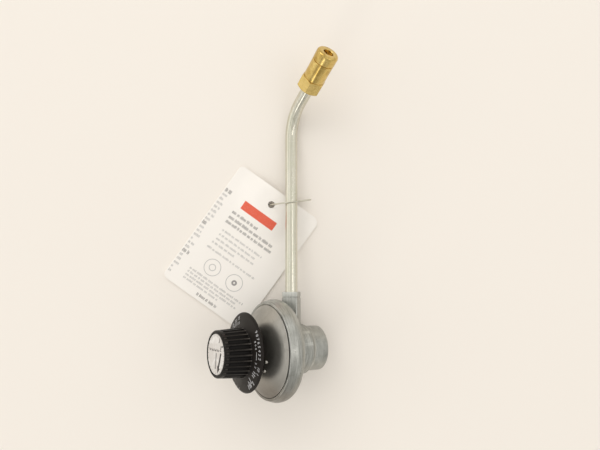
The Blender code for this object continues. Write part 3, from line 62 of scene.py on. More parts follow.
# ---- sizes, as in the CAD
DRUM_RADIUS = 32
DRUM_WIDEST_Z = -4.6
DRUM_BACK_Z = -11.2
DRUM_BACK_ROUND = 5.2
DRUM_DRAFT = 0.2
LIP_RADIUS = 28.9
LIP_THICKNESS = 0.7
LEDGE_Z = -4
CHAMBER_RADIUS = 24.4
CHAMBER_FLOOR_Z = -9.7
HOUSING_RADIUS = 16
HOUSING_END_Z = -25.6
SOCKET_RADIUS = 14.25
SOCKET_END_Z = -37.9
SOCKET_BORE = 12.2
SOCKET_FLOOR_Z = -26.2
THREAD_PITCH = 1.27  # 20 threads to the inch
THREAD_DEPTH = 0.65
NIPPLE_HOLE = 4.95
BOSS_WIDTH = 10.4
BOSS_ROUND = 1.2
BOSS_REACH = 36.6
BOSS_MOUTH_ROUND = 0.3
BOSS_START = 7.95
BOSS_TURN = radians(45)  # the square boss stands on its corner
BOSS_AXIS_Z = -18.6
STAKE_FROM_MOUTH = 3.4
STAKE_WIDTH = 1.1
STAKE_DEPTH = 0.4
FLANGE_RADIUS = 29.5
FLANGE_TOP_Z = -1
FLANGE_BOTTOM_Z = -2
CONE_FOOT = (26.5, 1.5)
CONE_TOP = (12.6, 8.6)
COVER_WALL = 1.6
TOWER_RADIUS = 9.5
TOWER_TOP_Z = 23.8
TOWER_CAP_Z = 21.4
TOWER_BORE = 7.4
BUSH_HOLE = 4.3
COVER_BLEND = 3
PIP_RADIUS = 0.9
PIP_HEIGHT = 0.9
PIP_SPOTS = ((14.9, -18.6), (15.5, -41.9))  # radius, degrees about the knob axis
VENT_SPOT = (19.55, 205)
VENT_RADIUS = 0.9
VENT_CUT = 13  # longer than the cover's wall is thick
KNOB_TOP_Z = 34.1
KNOB_FACE_RADIUS = 14.1
KNOB_FOOT_RADIUS = 15.2
KNOB_FACE_ROUND = 1.2
KNOB_WALL = 2.6
RECESS_FLOOR_Z = 33
SKIRT_RADIUS = 24.4
SKIRT_EDGE_Z = 14.3
SKIRT_TOP_Z = 17.2
SKIRT_THICKNESS = 1.5
HUB_RADIUS = 5.4
HUB_FOOT_Z = 25.2
KNOB_BORE = 3.2
KNOB_BORE_TOP_Z = 32.3
LABEL_RADIUS = 12.1
LABEL_FOOT_Z = 33.3
LABEL_THICKNESS = 0.6
FLUTES = 28
FLUTE_RADIUS = 1.25
FLUTE_DEPTH = 0.75
FLUTE_TOP_Z = 31.2
TUBE_RADIUS = 3.97
TUBE_BORE = 3.15
TUBE_START_Y = 19
TUBE_BEND_Y = 138.6
TUBE_BEND_RADIUS = 25.6
BEND = radians(56)
BEND_STEPS = 40
TUBE_TAIL = 11.8
TUBE_IN_NOZZLE = 8.7
NOZZLE_LENGTH = 28.4
NOZZLE_HEX = 14.3
NOZZLE_HEX_LENGTH = 8.6
NOZZLE_HEX_CHAMFER = 1.1
NOZZLE_TURN = radians(-8.3)
NOZZLE_RADIUS = 7
NOZZLE_GROOVE_AT = 21.2
NOZZLE_GROOVE_WIDTH = 1.1
NOZZLE_GROOVE_DEPTH = 0.5
NOZZLE_COLLAR_RADIUS = 7.15
NOZZLE_COLLAR_ROUND = 1.7
NOZZLE_HOLE = 4.27
NOZZLE_WAY = 2
JET_HOLE = 3.2
JET_DEPTH = 7
TAG_WIDTH = 65
TAG_HEIGHT = 92
TAG_CORNER = 5
PAPER = 0.3
LEAF_GAP = 0.4
TAG_CLEAR = 0.3
TAG_TURN = radians(-35.8)
TAG_HOLE_RADIUS = 2.3
TAG_HOLE = (32, 10.2)  # from the folded edge and the top edge
TAG_LIFT = 3
TAG_LIFT_INNER = 9
TAG_LIFT_OUTER = 27
TIE_WIRE = 1
TIE_REACH = 26.24
TIE_TURN = radians(7)
HOLE_FROM_TUBE = 13.4
PRINT = 0.05  # half the thickness of a printed mark
CASING_SIDES = 160  # round the casting and the cover
NOZZLE_SIDES = 96

# ---- frames
JOINTS = {joint["name"]: joint for joint in frame["joints"]}
SEAM = Vector(JOINTS["knob_turn"]["pos_m"])
KNOB_AXIS = Vector(JOINTS["knob_turn"]["axis"]).normalized()
# the tube runs along +Y in plan, square to the knob axis
TUBE_AXIS = Vector((0, KNOB_AXIS.z, -KNOB_AXIS.y)).normalized()
SIDE_AXIS = TUBE_AXIS.cross(KNOB_AXIS)
TAG_SPOT = Vector(JOINTS["tag_turn"]["pos_m"])


def frame_matrix(origin, x_axis, y_axis, z_axis):
    """Millimetres along the given axes, from origin, to metres in the row frame."""
    matrix = Matrix((x_axis, y_axis, z_axis)).transposed().to_4x4()
    return Matrix.Translation(origin) @ matrix @ TO_METRES


CASING = frame_matrix(SEAM, SIDE_AXIS, TUBE_AXIS, KNOB_AXIS)


# ---- mesh helpers
def placed(name, data):
    obj = bpy.data.objects.new(name, data)
    bpy.context.scene.collection.objects.link(obj)
    return obj


def finished(name, mesh, look, body="regulator_body", sharp=30, matrix=CASING):
    """A shown piece, its vertices in metres in the row frame as those of the CAD nodes are."""
    mesh.name = name
    mesh.transform(matrix)
    mesh.shade_smooth()
    mesh.set_sharp_from_angle(angle=radians(sharp))
    obj = placed(name, mesh)
    mesh.materials.clear()
    mesh.materials.append(MAT[look])
    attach(obj, body)
    return obj


def polar(radius, degrees, z=0):
    angle = radians(degrees)
    return Vector((radius * cos(angle), radius * sin(angle), z))


def arc_points(corners, steps=6):
    """Points through (r, z) or (r, z, fillet) corners, the fillets as arcs."""
    points = []
    spots = [Vector(corner[:2]) for corner in corners]
    for index, (here, corner) in enumerate(zip(spots, corners)):
        if len(corner) < 3:
            points.append(here)
            continue
        radius = corner[2]
        before = (spots[index - 1] - here).normalized()
        after = (spots[index + 1] - here).normalized()
        half = before.angle(after) / 2
        reach = radius / tan(half)
        centre = here + (before + after).normalized() * radius / sin(half)
        first = here + before * reach - centre
        turn = first.angle_signed(here + after * reach - centre)
        for step in range(steps + 1):
            angle = -turn * step / steps
            points.append(centre + Vector((
                first.x * cos(angle) - first.y * sin(angle),
                first.x * sin(angle) + first.y * cos(angle))))
    return points


def revolve(points, steps):
    """Mesh turned about Z; a profile that starts on the axis is open and ends on it too."""
    points = [Vector(point) for point in points]
    following = points[1:] + points[:1]
    area = sum(a.x * b.y - b.x * a.y for a, b in zip(points, following))
    if area > 0:
        points.reverse()
    mesh = bpy.data.meshes.new("profile")
    edges = [(index, index + 1) for index in range(len(points) - 1)]
    if points[0].x > 0:
        edges.append((len(points) - 1, 0))
    mesh.from_pydata([(p.x, 0, p.y) for p in points], edges, [])
    obj = placed("profile", mesh)
    screw = obj.modifiers.new("turn", "SCREW")
    screw.steps = steps
    screw.render_steps = steps
    screw.use_merge_vertices = True
    screw.merge_threshold = 1e-4
    return applied(obj)


def applied(obj):
    """The object's evaluated mesh; the object is removed."""
    bpy.context.view_layer.update()
    graph = bpy.context.evaluated_depsgraph_get()
    mesh = bpy.data.meshes.new_from_object(obj.evaluated_get(graph))
    bpy.data.objects.remove(obj, do_unlink=True)
    return mesh


def boolean(mesh, others, operation):
    """EXACT Boolean of the mesh with each other mesh in turn."""
    obj = placed("solid", mesh)
    helpers = []
    for other in others:
        helper = placed("helper", other)
        step = obj.modifiers.new("cut", "BOOLEAN")
        step.operation = operation
        step.solver = "EXACT"
        step.object = helper
        helpers.append(helper)
    result = applied(obj)
    for helper in helpers:
        bpy.data.objects.remove(helper, do_unlink=True)
    return result


def cut(mesh, *others):
    return boolean(mesh, others, "DIFFERENCE")


def from_bmesh(shape):
    mesh = bpy.data.meshes.new("shape")
    shape.to_mesh(mesh)
    shape.free()
    return mesh


def rounded(shape, chosen, radius, segments):
    """Rounds each edge whose two ends are chosen."""
    edges = [edge for edge in shape.edges if chosen(*(vert.co for vert in edge.verts))]
    bmesh.ops.bevel(shape, geom=edges, offset=radius, segments=segments, profile=0.5,
                    affect="EDGES")


def box(size, radius, axis, segments):
    """Box about the origin, its edges along one axis (0, 1 or 2) rounded by the radius."""
    shape = bmesh.new()
    bmesh.ops.create_cube(shape, size=1)
    bmesh.ops.scale(shape, verts=shape.verts, vec=size)
    if radius > 0:
        rounded(shape, lambda a, b: abs(a[axis] - b[axis]) > size[axis] / 2, radius, segments)
    return shape


def block(size, centre, radius=0):
    """Box with its upright edges rounded by the radius, if one is given."""
    shape = box(size, radius, 2, 10)
    bmesh.ops.translate(shape, verts=shape.verts, vec=centre)
    return from_bmesh(shape)


def rod(radius, length, matrix, sides=48):
    shape = bmesh.new()
    bmesh.ops.create_cone(shape, cap_ends=True, segments=sides, radius1=radius, radius2=radius,
                          depth=length, matrix=matrix)
    return from_bmesh(shape)


def joined(meshes):
    shape = bmesh.new()
    for mesh in meshes:
        shape.from_mesh(mesh)
    return from_bmesh(shape)


def swept(points, radius, sides=24, cyclic=False):
    """A round bar along the points, swept with a frame that doesn't twist."""
    points = [Vector(point) for point in points]
    count = len(points)
    shape = bmesh.new()
    angles = [tau * side / sides for side in range(sides)]
    normal = None
    rings = []
    for index, point in enumerate(points):
        if cyclic:
            ahead = points[(index + 1) % count] - points[index - 1]
        else:
            ahead = points[min(index + 1, count - 1)] - points[max(index - 1, 0)]
        ahead.normalize()
        if normal is None:
            normal = ahead.orthogonal().normalized()
        normal = (normal - ahead * normal.dot(ahead)).normalized()
        across = ahead.cross(normal)
        rings.append([shape.verts.new(point + (normal * cos(angle) + across * sin(angle)) * radius)
                      for angle in angles])
    pairs = list(zip(rings, rings[1:]))
    if cyclic:
        pairs.append((rings[-1], rings[0]))
    for first, second in pairs:
        shift = 0
        if second is rings[0]:
            shift = min(range(sides), key=lambda k: (first[0].co - second[k].co).length)
        for side in range(sides):
            nxt = (side + 1) % sides
            shape.faces.new((first[side], first[nxt],
                             second[(nxt + shift) % sides], second[(side + shift) % sides]))
    if not cyclic:
        shape.faces.new(rings[0])
        shape.faces.new(rings[-1])
    bmesh.ops.recalc_face_normals(shape, faces=shape.faces)
    return from_bmesh(shape)


def smooth_loop(corners, steps):
    """Catmull-Rom points through the corners and back to the first."""
    corners = [Vector(corner) for corner in corners]
    points = []
    for index in range(len(corners)):
        p0, p1, p2, p3 = (corners[(index + ahead) % len(corners)] for ahead in (-1, 0, 1, 2))
        for step in range(steps):
            t = step / steps
            points.append(0.5 * (2 * p1 + (p2 - p0) * t
                                 + (2 * p0 - 5 * p1 + 4 * p2 - p3) * t * t
                                 + (3 * p1 - p0 - 3 * p2 + p3) * t ** 3))
    return points


# ---- materials
class Tree:
    """Short calls for building one node tree."""

    def __init__(self, tree):
        self.tree = tree

    def put(self, socket, value):
        """Links or sets an input; a colour is given without its alpha."""
        if isinstance(value, bpy.types.NodeSocket):
            self.tree.links.new(value, socket)
        elif isinstance(value, tuple) and socket.type == "RGBA":
            socket.default_value = (*value, 1)
        else:
            socket.default_value = value

    def add(self, kind, inputs=None, **settings):
        node = self.tree.nodes.new(kind)
        for key, value in settings.items():
            setattr(node, key, value)
        for key, value in (inputs or {}).items():
            self.put(node.inputs[key], value)
        return node

    def noise(self, vector, scale, detail=3, rough=0.6, distortion=0):
        return self.add("ShaderNodeTexNoise", {
            "Vector": vector, "Scale": scale, "Detail": detail, "Roughness": rough,
            "Distortion": distortion}).outputs["Fac"]

    def ramp(self, factor, stops):
        node = self.add("ShaderNodeValToRGB", {"Fac": factor})
        elements = node.color_ramp.elements
        while len(elements) < len(stops):
            elements.new(0.5)
        for element, (place, color) in zip(elements, stops):
            element.position = place
            element.color = (*color, 1)
        return node.outputs["Color"]

    def mix(self, factor, first, second, blend="MIX"):
        return self.add("ShaderNodeMix", {0: factor, 6: first, 7: second}, data_type="RGBA",
                        blend_type=blend).outputs[2]

    def math(self, operation, first, second=0, clamp=False):
        return self.add("ShaderNodeMath", {0: first, 1: second}, operation=operation,
                        use_clamp=clamp).outputs[0]

    def times(self, first, second):
        return self.math("MULTIPLY", first, second)

    def plus(self, first, second, clamp=False):
        return self.math("ADD", first, second, clamp)

    def remap(self, value, low, high, to_low=0, to_high=1):
        return self.add("ShaderNodeMapRange", {
            "Value": value, "From Min": low, "From Max": high, "To Min": to_low,
            "To Max": to_high}).outputs["Result"]

    def over(self, shade, tone, pattern, low, high, amount):
        """The tone laid over the shade where the pattern goes from low to high."""
        return self.mix(self.remap(pattern, low, high, 0, amount), shade, tone)

    def vary(self, pattern, low, high):
        """A value from low to high, over the middle of a noise pattern."""
        return self.remap(pattern, 0.3, 0.7, low, high)

    def parts(self, vector):
        """The vector's x, y and z."""
        return list(self.add("ShaderNodeSeparateXYZ", {0: vector}).outputs)


class Look(Tree):
    """Short calls for building one Principled material."""

    def __init__(self, name, color, roughness, metallic=0):
        self.material = bpy.data.materials.new(name)
        self.material.use_nodes = True
        self.material.diffuse_color = (*color, 1)
        super().__init__(self.material.node_tree)
        self.shader = self.tree.nodes["Principled BSDF"]
        self.set("Base Color", color)
        self.set("Roughness", roughness)
        self.set("Metallic", metallic)

    def set(self, socket, value):
        self.put(self.shader.inputs[socket], value)

    def coords(self, frame_of_piece=CASING):
        """Object coordinates in metres, turned into the piece's own frame."""
        place, turn, _ = frame_of_piece.decompose()
        return self.add("ShaderNodeMapping", {
            "Vector": self.add("ShaderNodeTexCoord").outputs["Object"], "Location": place,
            "Rotation": turn.to_euler()}, vector_type="TEXTURE").outputs["Vector"]

    def scaled(self, vector, scale):
        return self.add("ShaderNodeMapping", {"Vector": vector, "Scale": scale}).outputs["Vector"]

    def radius(self, vector):
        """Distance from the piece's Z axis in metres, then x, y and z."""
        x, y, z = self.parts(vector)
        return self.math("SQRT", self.plus(self.times(x, x), self.times(y, y))), x, y, z

    def edges(self, low=0.52, high=0.6):
        """0 on flat and hollow places, 1 on outer edges."""
        return self.remap(self.add("ShaderNodeNewGeometry").outputs["Pointiness"], low, high)

    def surface(self, shade, rough, height=None, strength=0, distance=0):
        """The finished material; height is its fine relief and distance that relief's depth."""
        self.set("Base Color", shade)
        self.set("Roughness", rough)
        if height is not None:
            self.set("Normal", self.add("ShaderNodeBump", {
                "Height": height, "Strength": strength, "Distance": distance}).outputs["Normal"])
        return self.material


def toned(color, scale, lift=0):
    return tuple(min(1, value * scale + lift) for value in color)


def cast_zinc(name, color, tint, dark, roughness, streaks, relief, rubbed, painted_shade_amount):
    """Die-cast zinc: mottled grey, streaks round the axis, fine grit, brighter edges and painted
    shade on the side away from the outlet.
    """
    m = Look(name, color, roughness, 0.96)
    where = m.coords()
    ring, _, y, z = m.radius(where)
    wide = m.noise(where, 110, 5, 0.6, 0.5)
    fine = m.noise(where, 1000)
    grit = m.noise(where, 3600, 2, 0.6)
    # streaks left by the die and by turning: long round the axis, short along it
    broad = m.noise(m.scaled(where, (40, 40, 560)), 1, 4, 0.6, 0.3)
    thin = m.noise(m.scaled(where, (110, 110, 2100)), 1, 3, 0.65)
    # the socket's end is plainer than the drum
    reach = m.remap(z, -0.031, -0.026, 0.35 * streaks, streaks)
    shade = m.ramp(wide, [(0.3, dark), (0.5, color), (0.72, tint)])
    # the neck behind the drum is darker
    neck = m.times(m.remap(z, -0.0275, -0.0262, 0, 0.5),
                   m.remap(ring, 0.0185, 0.0172, 0, streaks))
    shade = m.mix(neck, shade, dark)
    for pattern, low, high, amount, tone in (
            (broad, 0.5, 0.68, 0.55, tint), (broad, 0.48, 0.32, 0.55, dark),
            (thin, 0.52, 0.62, 0.85, tint), (thin, 0.46, 0.36, 0.75, dark)):
        shade = m.mix(m.times(m.remap(pattern, low, high, 0, amount), reach), shade, tone)
    shade = m.over(shade, dark, fine, 0.56, 0.7, 0.35)
    shade = m.mix(m.times(m.edges(0.515, 0.6), rubbed), shade, toned(tint, 1.3))
    # painted shade: the side away from the outlet is darkened, with some noise in it
    painted_shade_mask = m.plus(m.remap(y, -0.009, -0.027), m.remap(wide, 0.35, 0.65, -0.12, 0.12), True)
    shade = m.mix(m.times(painted_shade_mask, painted_shade_amount), shade, PAINTED_SHADE_ZINC)
    vary = 0.07 * streaks
    rough = m.plus(m.vary(fine, roughness - vary, roughness + vary),
                   m.remap(broad, 0.35, 0.65, -0.7 * vary, vary))
    height = m.plus(m.plus(m.times(broad, 0.8 * streaks), m.times(thin, 0.5 * streaks)),
                    m.plus(m.times(grit, 0.35), m.times(fine, 0.4)))
    return m.surface(shade, rough, height, relief, 0.00012)


def plated(name):
    """Nickel plated tube: bright, drawn lengthwise, warm and greenish streaks."""
    m = Look(name, (0.68, 0.66, 0.57), 0.2, 1)
    where = m.coords()
    streak = m.noise(m.scaled(where, (1100, 22, 1100)), 1)
    cloud = m.noise(where, 70, 4, 0.6)
    spot = m.noise(where, 700, 3, 0.65)
    shade = m.ramp(streak, [(0.3, (0.58, 0.56, 0.465)), (0.52, (0.69, 0.67, 0.575)),
                            (0.74, (0.76, 0.74, 0.65))])
    shade = m.over(shade, (0.6, 0.61, 0.485), cloud, 0.46, 0.66, 0.5)
    shade = m.over(shade, (0.45, 0.42, 0.32), spot, 0.6, 0.74, 0.4)
    rough = m.plus(m.vary(streak, 0.14, 0.24), m.remap(spot, 0.5, 0.75, 0, 0.12))
    return m.surface(shade, rough, streak, 0.1, 0.00005)


def machined(name, color, bright, dark, roughness):
    """Turned brass: fine rings round the axis, dull and bright patches, clean edges."""
    m = Look(name, color, roughness, 1)
    where = m.coords(NOZZLE)
    ring, _, _, z = m.radius(where)
    lay = m.add("ShaderNodeCombineXYZ", {0: ring, 1: z}).outputs[0]
    turning = m.noise(lay, 2600, 3, 0.7)
    cloud = m.noise(where, 260, 4, 0.6)
    speck = m.noise(where, 1500)
    shade = m.ramp(cloud, [(0.3, dark), (0.52, color), (0.74, bright)])
    shade = m.over(shade, dark, speck, 0.58, 0.74, 0.45)
    shade = m.mix(m.times(m.edges(), 0.6), shade, bright)
    rough = m.plus(m.vary(turning, roughness - 0.08, roughness + 0.08), m.vary(cloud, 0, 0.1))
    return m.surface(shade, rough, m.plus(turning, m.times(speck, 0.5)), 0.25, 0.00008)


def moulded(name, color, roughness, gloss, grain=0.2, wear_and_ridge_highlight=None, skirt=None):
    """Moulded plastic: fine texture, faint handling marks and, for the knob, worn edges, a painted
    sheen on the skirt and painted highlights along the ridges.
    """
    m = Look(name, color, roughness)
    m.set("Specular IOR Level", gloss)
    where = m.coords()
    fine = m.noise(where, 2200)
    smear = m.noise(where, 160, 4, 0.6, 0.6)
    shade = m.over(color, toned(color, 1.7, 0.003), smear, 0.48, 0.72, 0.6)
    if wear_and_ridge_highlight is not None:
        dust = m.noise(where, 900, 4, 0.7)
        rubbed = m.times(m.edges(0.51, 0.58), m.remap(dust, 0.3, 0.62, 0.1, 0.5))
        shade = m.mix(rubbed, shade, wear_and_ridge_highlight)
        ring, x, y, z = m.radius(where)
        # painted sheen: the skirt is coloured lighter than the grip, in place of the room it
        # reflects
        shade = m.mix(m.remap(ring, 0.0155, 0.0165), shade, skirt)
        # painted highlight along the ridges between the knob's flutes, strongest at their foot
        around = m.times(m.math("ARCTAN2", y, x), FLUTES)
        foot = m.math("POWER", m.remap(z, 0.0318, 0.018), 6)
        painted_ridge_highlight = m.remap(m.math("COSINE", around), 0.62, 0.9)
        for share in (m.remap(ring, 0.0136, 0.014), m.remap(ring, 0.0156, 0.0153),
                      m.remap(foot, 0, 1, 0.22, 1), m.remap(dust, 0.34, 0.6, 0.35, 1)):
            painted_ridge_highlight = m.times(painted_ridge_highlight, share)
        shade = m.mix(painted_ridge_highlight, shade, wear_and_ridge_highlight)
    rough = m.plus(m.vary(fine, roughness - 0.04, roughness + 0.06),
                   m.remap(smear, 0.4, 0.7, 0, 0.12))
    return m.surface(shade, rough, fine, grain, 0.00005)


def steel(name, color, roughness):
    m = Look(name, color, roughness, 1)
    where = m.coords()
    fine = m.noise(where, 1800)
    cloud = m.noise(where, 300)
    return m.surface(m.over(color, toned(color, 0.7), cloud, 0.35, 0.7, 0.7),
                     m.vary(fine, roughness - 0.08, roughness + 0.1), fine, 0.15, 0.00005)


def soft_rubber(name):
    m = Look(name, (0.03, 0.03, 0.032), 0.7)
    fine = m.noise(m.coords(), 1500, 4, 0.6)
    shade = m.mix(m.remap(fine, 0.4, 0.7, 0, 0.6), (0.022, 0.022, 0.024), (0.06, 0.058, 0.055))
    return m.surface(shade, m.vary(fine, 0.6, 0.8), fine, 0.2, 0.00008)


def paper(name, base, shadow):
    """Uncoated paper: fibres, faint cockle and warmer patches."""
    m = Look(name, base, 0.9)
    m.set("Specular IOR Level", 0.2)
    where = m.coords()
    fibre = m.noise(where, 1400, 5, 0.7, 0.5)
    cloud = m.noise(where, 45, 3, 0.5)
    shade = m.over(base, shadow, cloud, 0.4, 0.75, 0.35)
    shade = m.over(shade, shadow, fibre, 0.5, 0.8, 0.25)
    return m.surface(shade, m.vary(fibre, 0.82, 0.96),
                     m.plus(m.times(fibre, 0.4), m.times(cloud, 1.5)), 0.25, 0.0002)


def ink(name, color, patchy=0.3):
    m = Look(name, color, 0.7)
    fibre = m.noise(m.coords(), 1600, 4, 0.7)
    shade = m.over(color, toned(color, 0.65, 0.2975), fibre, 0.5, 0.75, patchy)
    return m.surface(shade, m.vary(fibre, 0.6, 0.8))


def nozzle_place():
    """The nozzle's frame: millimetres along the outlet's last straight, from its foot."""
    _, foot, ahead = tube_route()
    turn = ahead.to_track_quat("Z", "Y").to_matrix().to_4x4()
    return CASING @ Matrix.Translation(foot) @ turn @ Matrix.Rotation(NOZZLE_TURN, 4, "Z")


def tube_route():
    """The tube's centre line, the nozzle's foot on it and its direction there."""
    start = Vector((0, TUBE_START_Y, BOSS_AXIS_Z))
    bend_start = Vector((0, TUBE_BEND_Y, BOSS_AXIS_Z))
    centre = bend_start + Vector((TUBE_BEND_RADIUS, 0, 0))
    points = [start.lerp(bend_start, index / 24) for index in range(24)]
    for step in range(BEND_STEPS + 1):
        angle = BEND * step / BEND_STEPS
        points.append(centre + Vector((-cos(angle), sin(angle), 0)) * TUBE_BEND_RADIUS)
    ahead = Vector((sin(BEND), cos(BEND), 0))
    foot = points[-1] + ahead * TUBE_TAIL
    points.append(foot + ahead * TUBE_IN_NOZZLE)
    return points, foot, ahead


NOZZLE = nozzle_place()
# the colour of the painted shade on the zinc's side away from the outlet
PAINTED_SHADE_ZINC = (0.135, 0.118, 0.1)

MAT = {
    "casting": cast_zinc("casting_zinc", (0.375, 0.381, 0.358), (0.51, 0.517, 0.49),
                         (0.27, 0.275, 0.252), roughness=0.34, streaks=1, relief=0.26,
                         rubbed=0.55, painted_shade_amount=0.62),
    "cover": cast_zinc("cover_zinc", (0.41, 0.398, 0.365), (0.49, 0.475, 0.435),
                       (0.33, 0.32, 0.288), roughness=0.32, streaks=0.25, relief=0.04,
                       rubbed=0.18, painted_shade_amount=0.85),
    "nickel": plated("nickel_tube"),
    "brass": machined("nozzle_brass", (0.635, 0.455, 0.15), (0.76, 0.58, 0.225),
                      (0.45, 0.3, 0.08), 0.15),
    "jet": machined("jet_brass", (0.66, 0.42, 0.11), (0.78, 0.54, 0.18), (0.42, 0.25, 0.06), 0.3),
    # the knob's wear colour is also the painted highlight along its flute ridges
    "knob": moulded("knob_black", (0.0042, 0.0034, 0.003), 0.3, gloss=0.13,
                    wear_and_ridge_highlight=(0.1, 0.088, 0.078), skirt=(0.016, 0.0134, 0.0116)),
    "label": moulded("label_white", (0.66, 0.63, 0.6), 0.5, gloss=0.4, grain=0.08),
    "white_ink": ink("white_ink", (0.56, 0.56, 0.58)),
    "black_ink": ink("black_ink", (0.045, 0.038, 0.036)),
    "pale_ink": ink("pale_ink", (0.26, 0.25, 0.245)),
    "steel": steel("bright_steel", (0.6, 0.6, 0.58), 0.32),
    "spring": steel("spring_steel", (0.4, 0.4, 0.4), 0.35),
    "tie": steel("tie_steel", (0.66, 0.64, 0.545), 0.34),
    "rubber": soft_rubber("nitrile"),
    "bush": moulded("acetal", (0.78, 0.77, 0.72), 0.5, gloss=0.5),
    "filter": machined("sintered_bronze", (0.45, 0.33, 0.18), (0.55, 0.42, 0.25),
                       (0.3, 0.21, 0.11), 0.7),
    "paper": paper("tag_paper", (0.965, 0.93, 0.885), (0.92, 0.88, 0.83)),
    "red_ink": ink("tag_red", (0.8, 0.125, 0.065), 0.5),
    "grey_ink": ink("tag_grey", (0.56, 0.545, 0.53), 0.5),
    "dark_ink": ink("tag_dark", (0.32, 0.305, 0.295), 0.6),
}


# ---- casting
def build_casting():
    wall_foot = DRUM_RADIUS - DRUM_DRAFT
    outer = arc_points([
        (LIP_RADIUS, -0.12), (LIP_RADIUS + 0.12, 0),
        ((LIP_RADIUS + DRUM_RADIUS) / 2, 0, 0.8), (DRUM_RADIUS, DRUM_WIDEST_Z, 2.5),
        (wall_foot, DRUM_BACK_Z, DRUM_BACK_ROUND),
        (HOUSING_RADIUS + 3, DRUM_BACK_Z - 0.9, 1.5),
        (HOUSING_RADIUS, DRUM_BACK_Z - 2.6, 1),
        (HOUSING_RADIUS, HOUSING_END_Z, 0.8),
        (SOCKET_RADIUS + 0.7, HOUSING_END_Z - 1.3, 0.5),
        (SOCKET_RADIUS + 0.15, HOUSING_END_Z - 2.6, 1),
        (SOCKET_RADIUS, SOCKET_END_Z, 0.5),
        (SOCKET_BORE + 0.8, SOCKET_END_Z),
    ])
    inner = [(SOCKET_BORE + THREAD_DEPTH, SOCKET_END_Z + 0.5)]
    # the inlet thread, as rings of the thread's true pitch and depth
    place = SOCKET_END_Z + 0.9
    while place + THREAD_PITCH < SOCKET_FLOOR_Z - 0.6:
        for depth, share in ((0.08, 0), (0.08, 0.2), (THREAD_DEPTH, 0.5), (THREAD_DEPTH, 0.7)):
            inner.append((SOCKET_BORE + depth, place + share * THREAD_PITCH))
        place += THREAD_PITCH
    inner += [
        (SOCKET_BORE + 0.1, place), (SOCKET_BORE + 0.1, SOCKET_FLOOR_Z),
        (NIPPLE_HOLE, SOCKET_FLOOR_Z), (NIPPLE_HOLE, CHAMBER_FLOOR_Z),
        (CHAMBER_RADIUS, CHAMBER_FLOOR_Z), (CHAMBER_RADIUS, LEDGE_Z),
        (FLANGE_RADIUS + GAP, LEDGE_Z), (FLANGE_RADIUS + GAP, -LIP_THICKNESS),
        (LIP_RADIUS, -LIP_THICKNESS)]
    shell = revolve(outer + inner, CASING_SIDES)
    boss = square_bar(BOSS_WIDTH, BOSS_ROUND, BOSS_START, BOSS_REACH, BOSS_MOUTH_ROUND)
    web_low = BOSS_AXIS_Z + BOSS_WIDTH / 4
    web_high = DRUM_BACK_Z + 0.75
    web_start = HOUSING_RADIUS - BOSS_WIDTH / 4
    web_end = DRUM_RADIUS - DRUM_BACK_ROUND
    web = block((BOSS_WIDTH / 2, web_end - web_start, web_high - web_low),
                (0, (web_start + web_end) / 2, (web_low + web_high) / 2))
    solid = boolean(shell, [boss, web], "UNION")
    along = Matrix.Rotation(pi / 2, 4, "X")
    bore_start = TUBE_START_Y - GAP
    bore_end = BOSS_REACH + 1
    bore = rod(TUBE_RADIUS + GAP, bore_end - bore_start,
               Matrix.Translation((0, (bore_end + bore_start) / 2, BOSS_AXIS_Z)) @ along)
    groove = BOSS_REACH - STAKE_FROM_MOUTH
    stake = block((BOSS_WIDTH * 2, STAKE_WIDTH, BOSS_WIDTH * 2), (0, groove, BOSS_AXIS_Z))
    core = square_bar(BOSS_WIDTH - 2 * STAKE_DEPTH, BOSS_ROUND - STAKE_DEPTH,
                      groove - 2 * STAKE_WIDTH, groove + 2 * STAKE_WIDTH, 0)
    solid = cut(solid, bore, cut(stake, core))
    obj = finished("casting_look", solid, "casting", sharp=32)
    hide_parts("body_casting")


def square_bar(width, corner, start_y, end_y, mouth_round):
    """The boss: a square bar along Y with rounded long edges, turned about its own axis."""
    length = end_y - start_y
    shape = box((width, length, width), corner, 1, 6)
    if mouth_round > 0:
        rounded(shape, lambda a, b: min(a.y, b.y) > length / 2 - 0.01, mouth_round, 2)
    middle = Matrix.Translation((0, (start_y + end_y) / 2, BOSS_AXIS_Z))
    turned = middle @ Matrix.Rotation(BOSS_TURN, 4, "Y")
    bmesh.ops.transform(shape, matrix=turned, verts=shape.verts)
    return from_bmesh(shape)


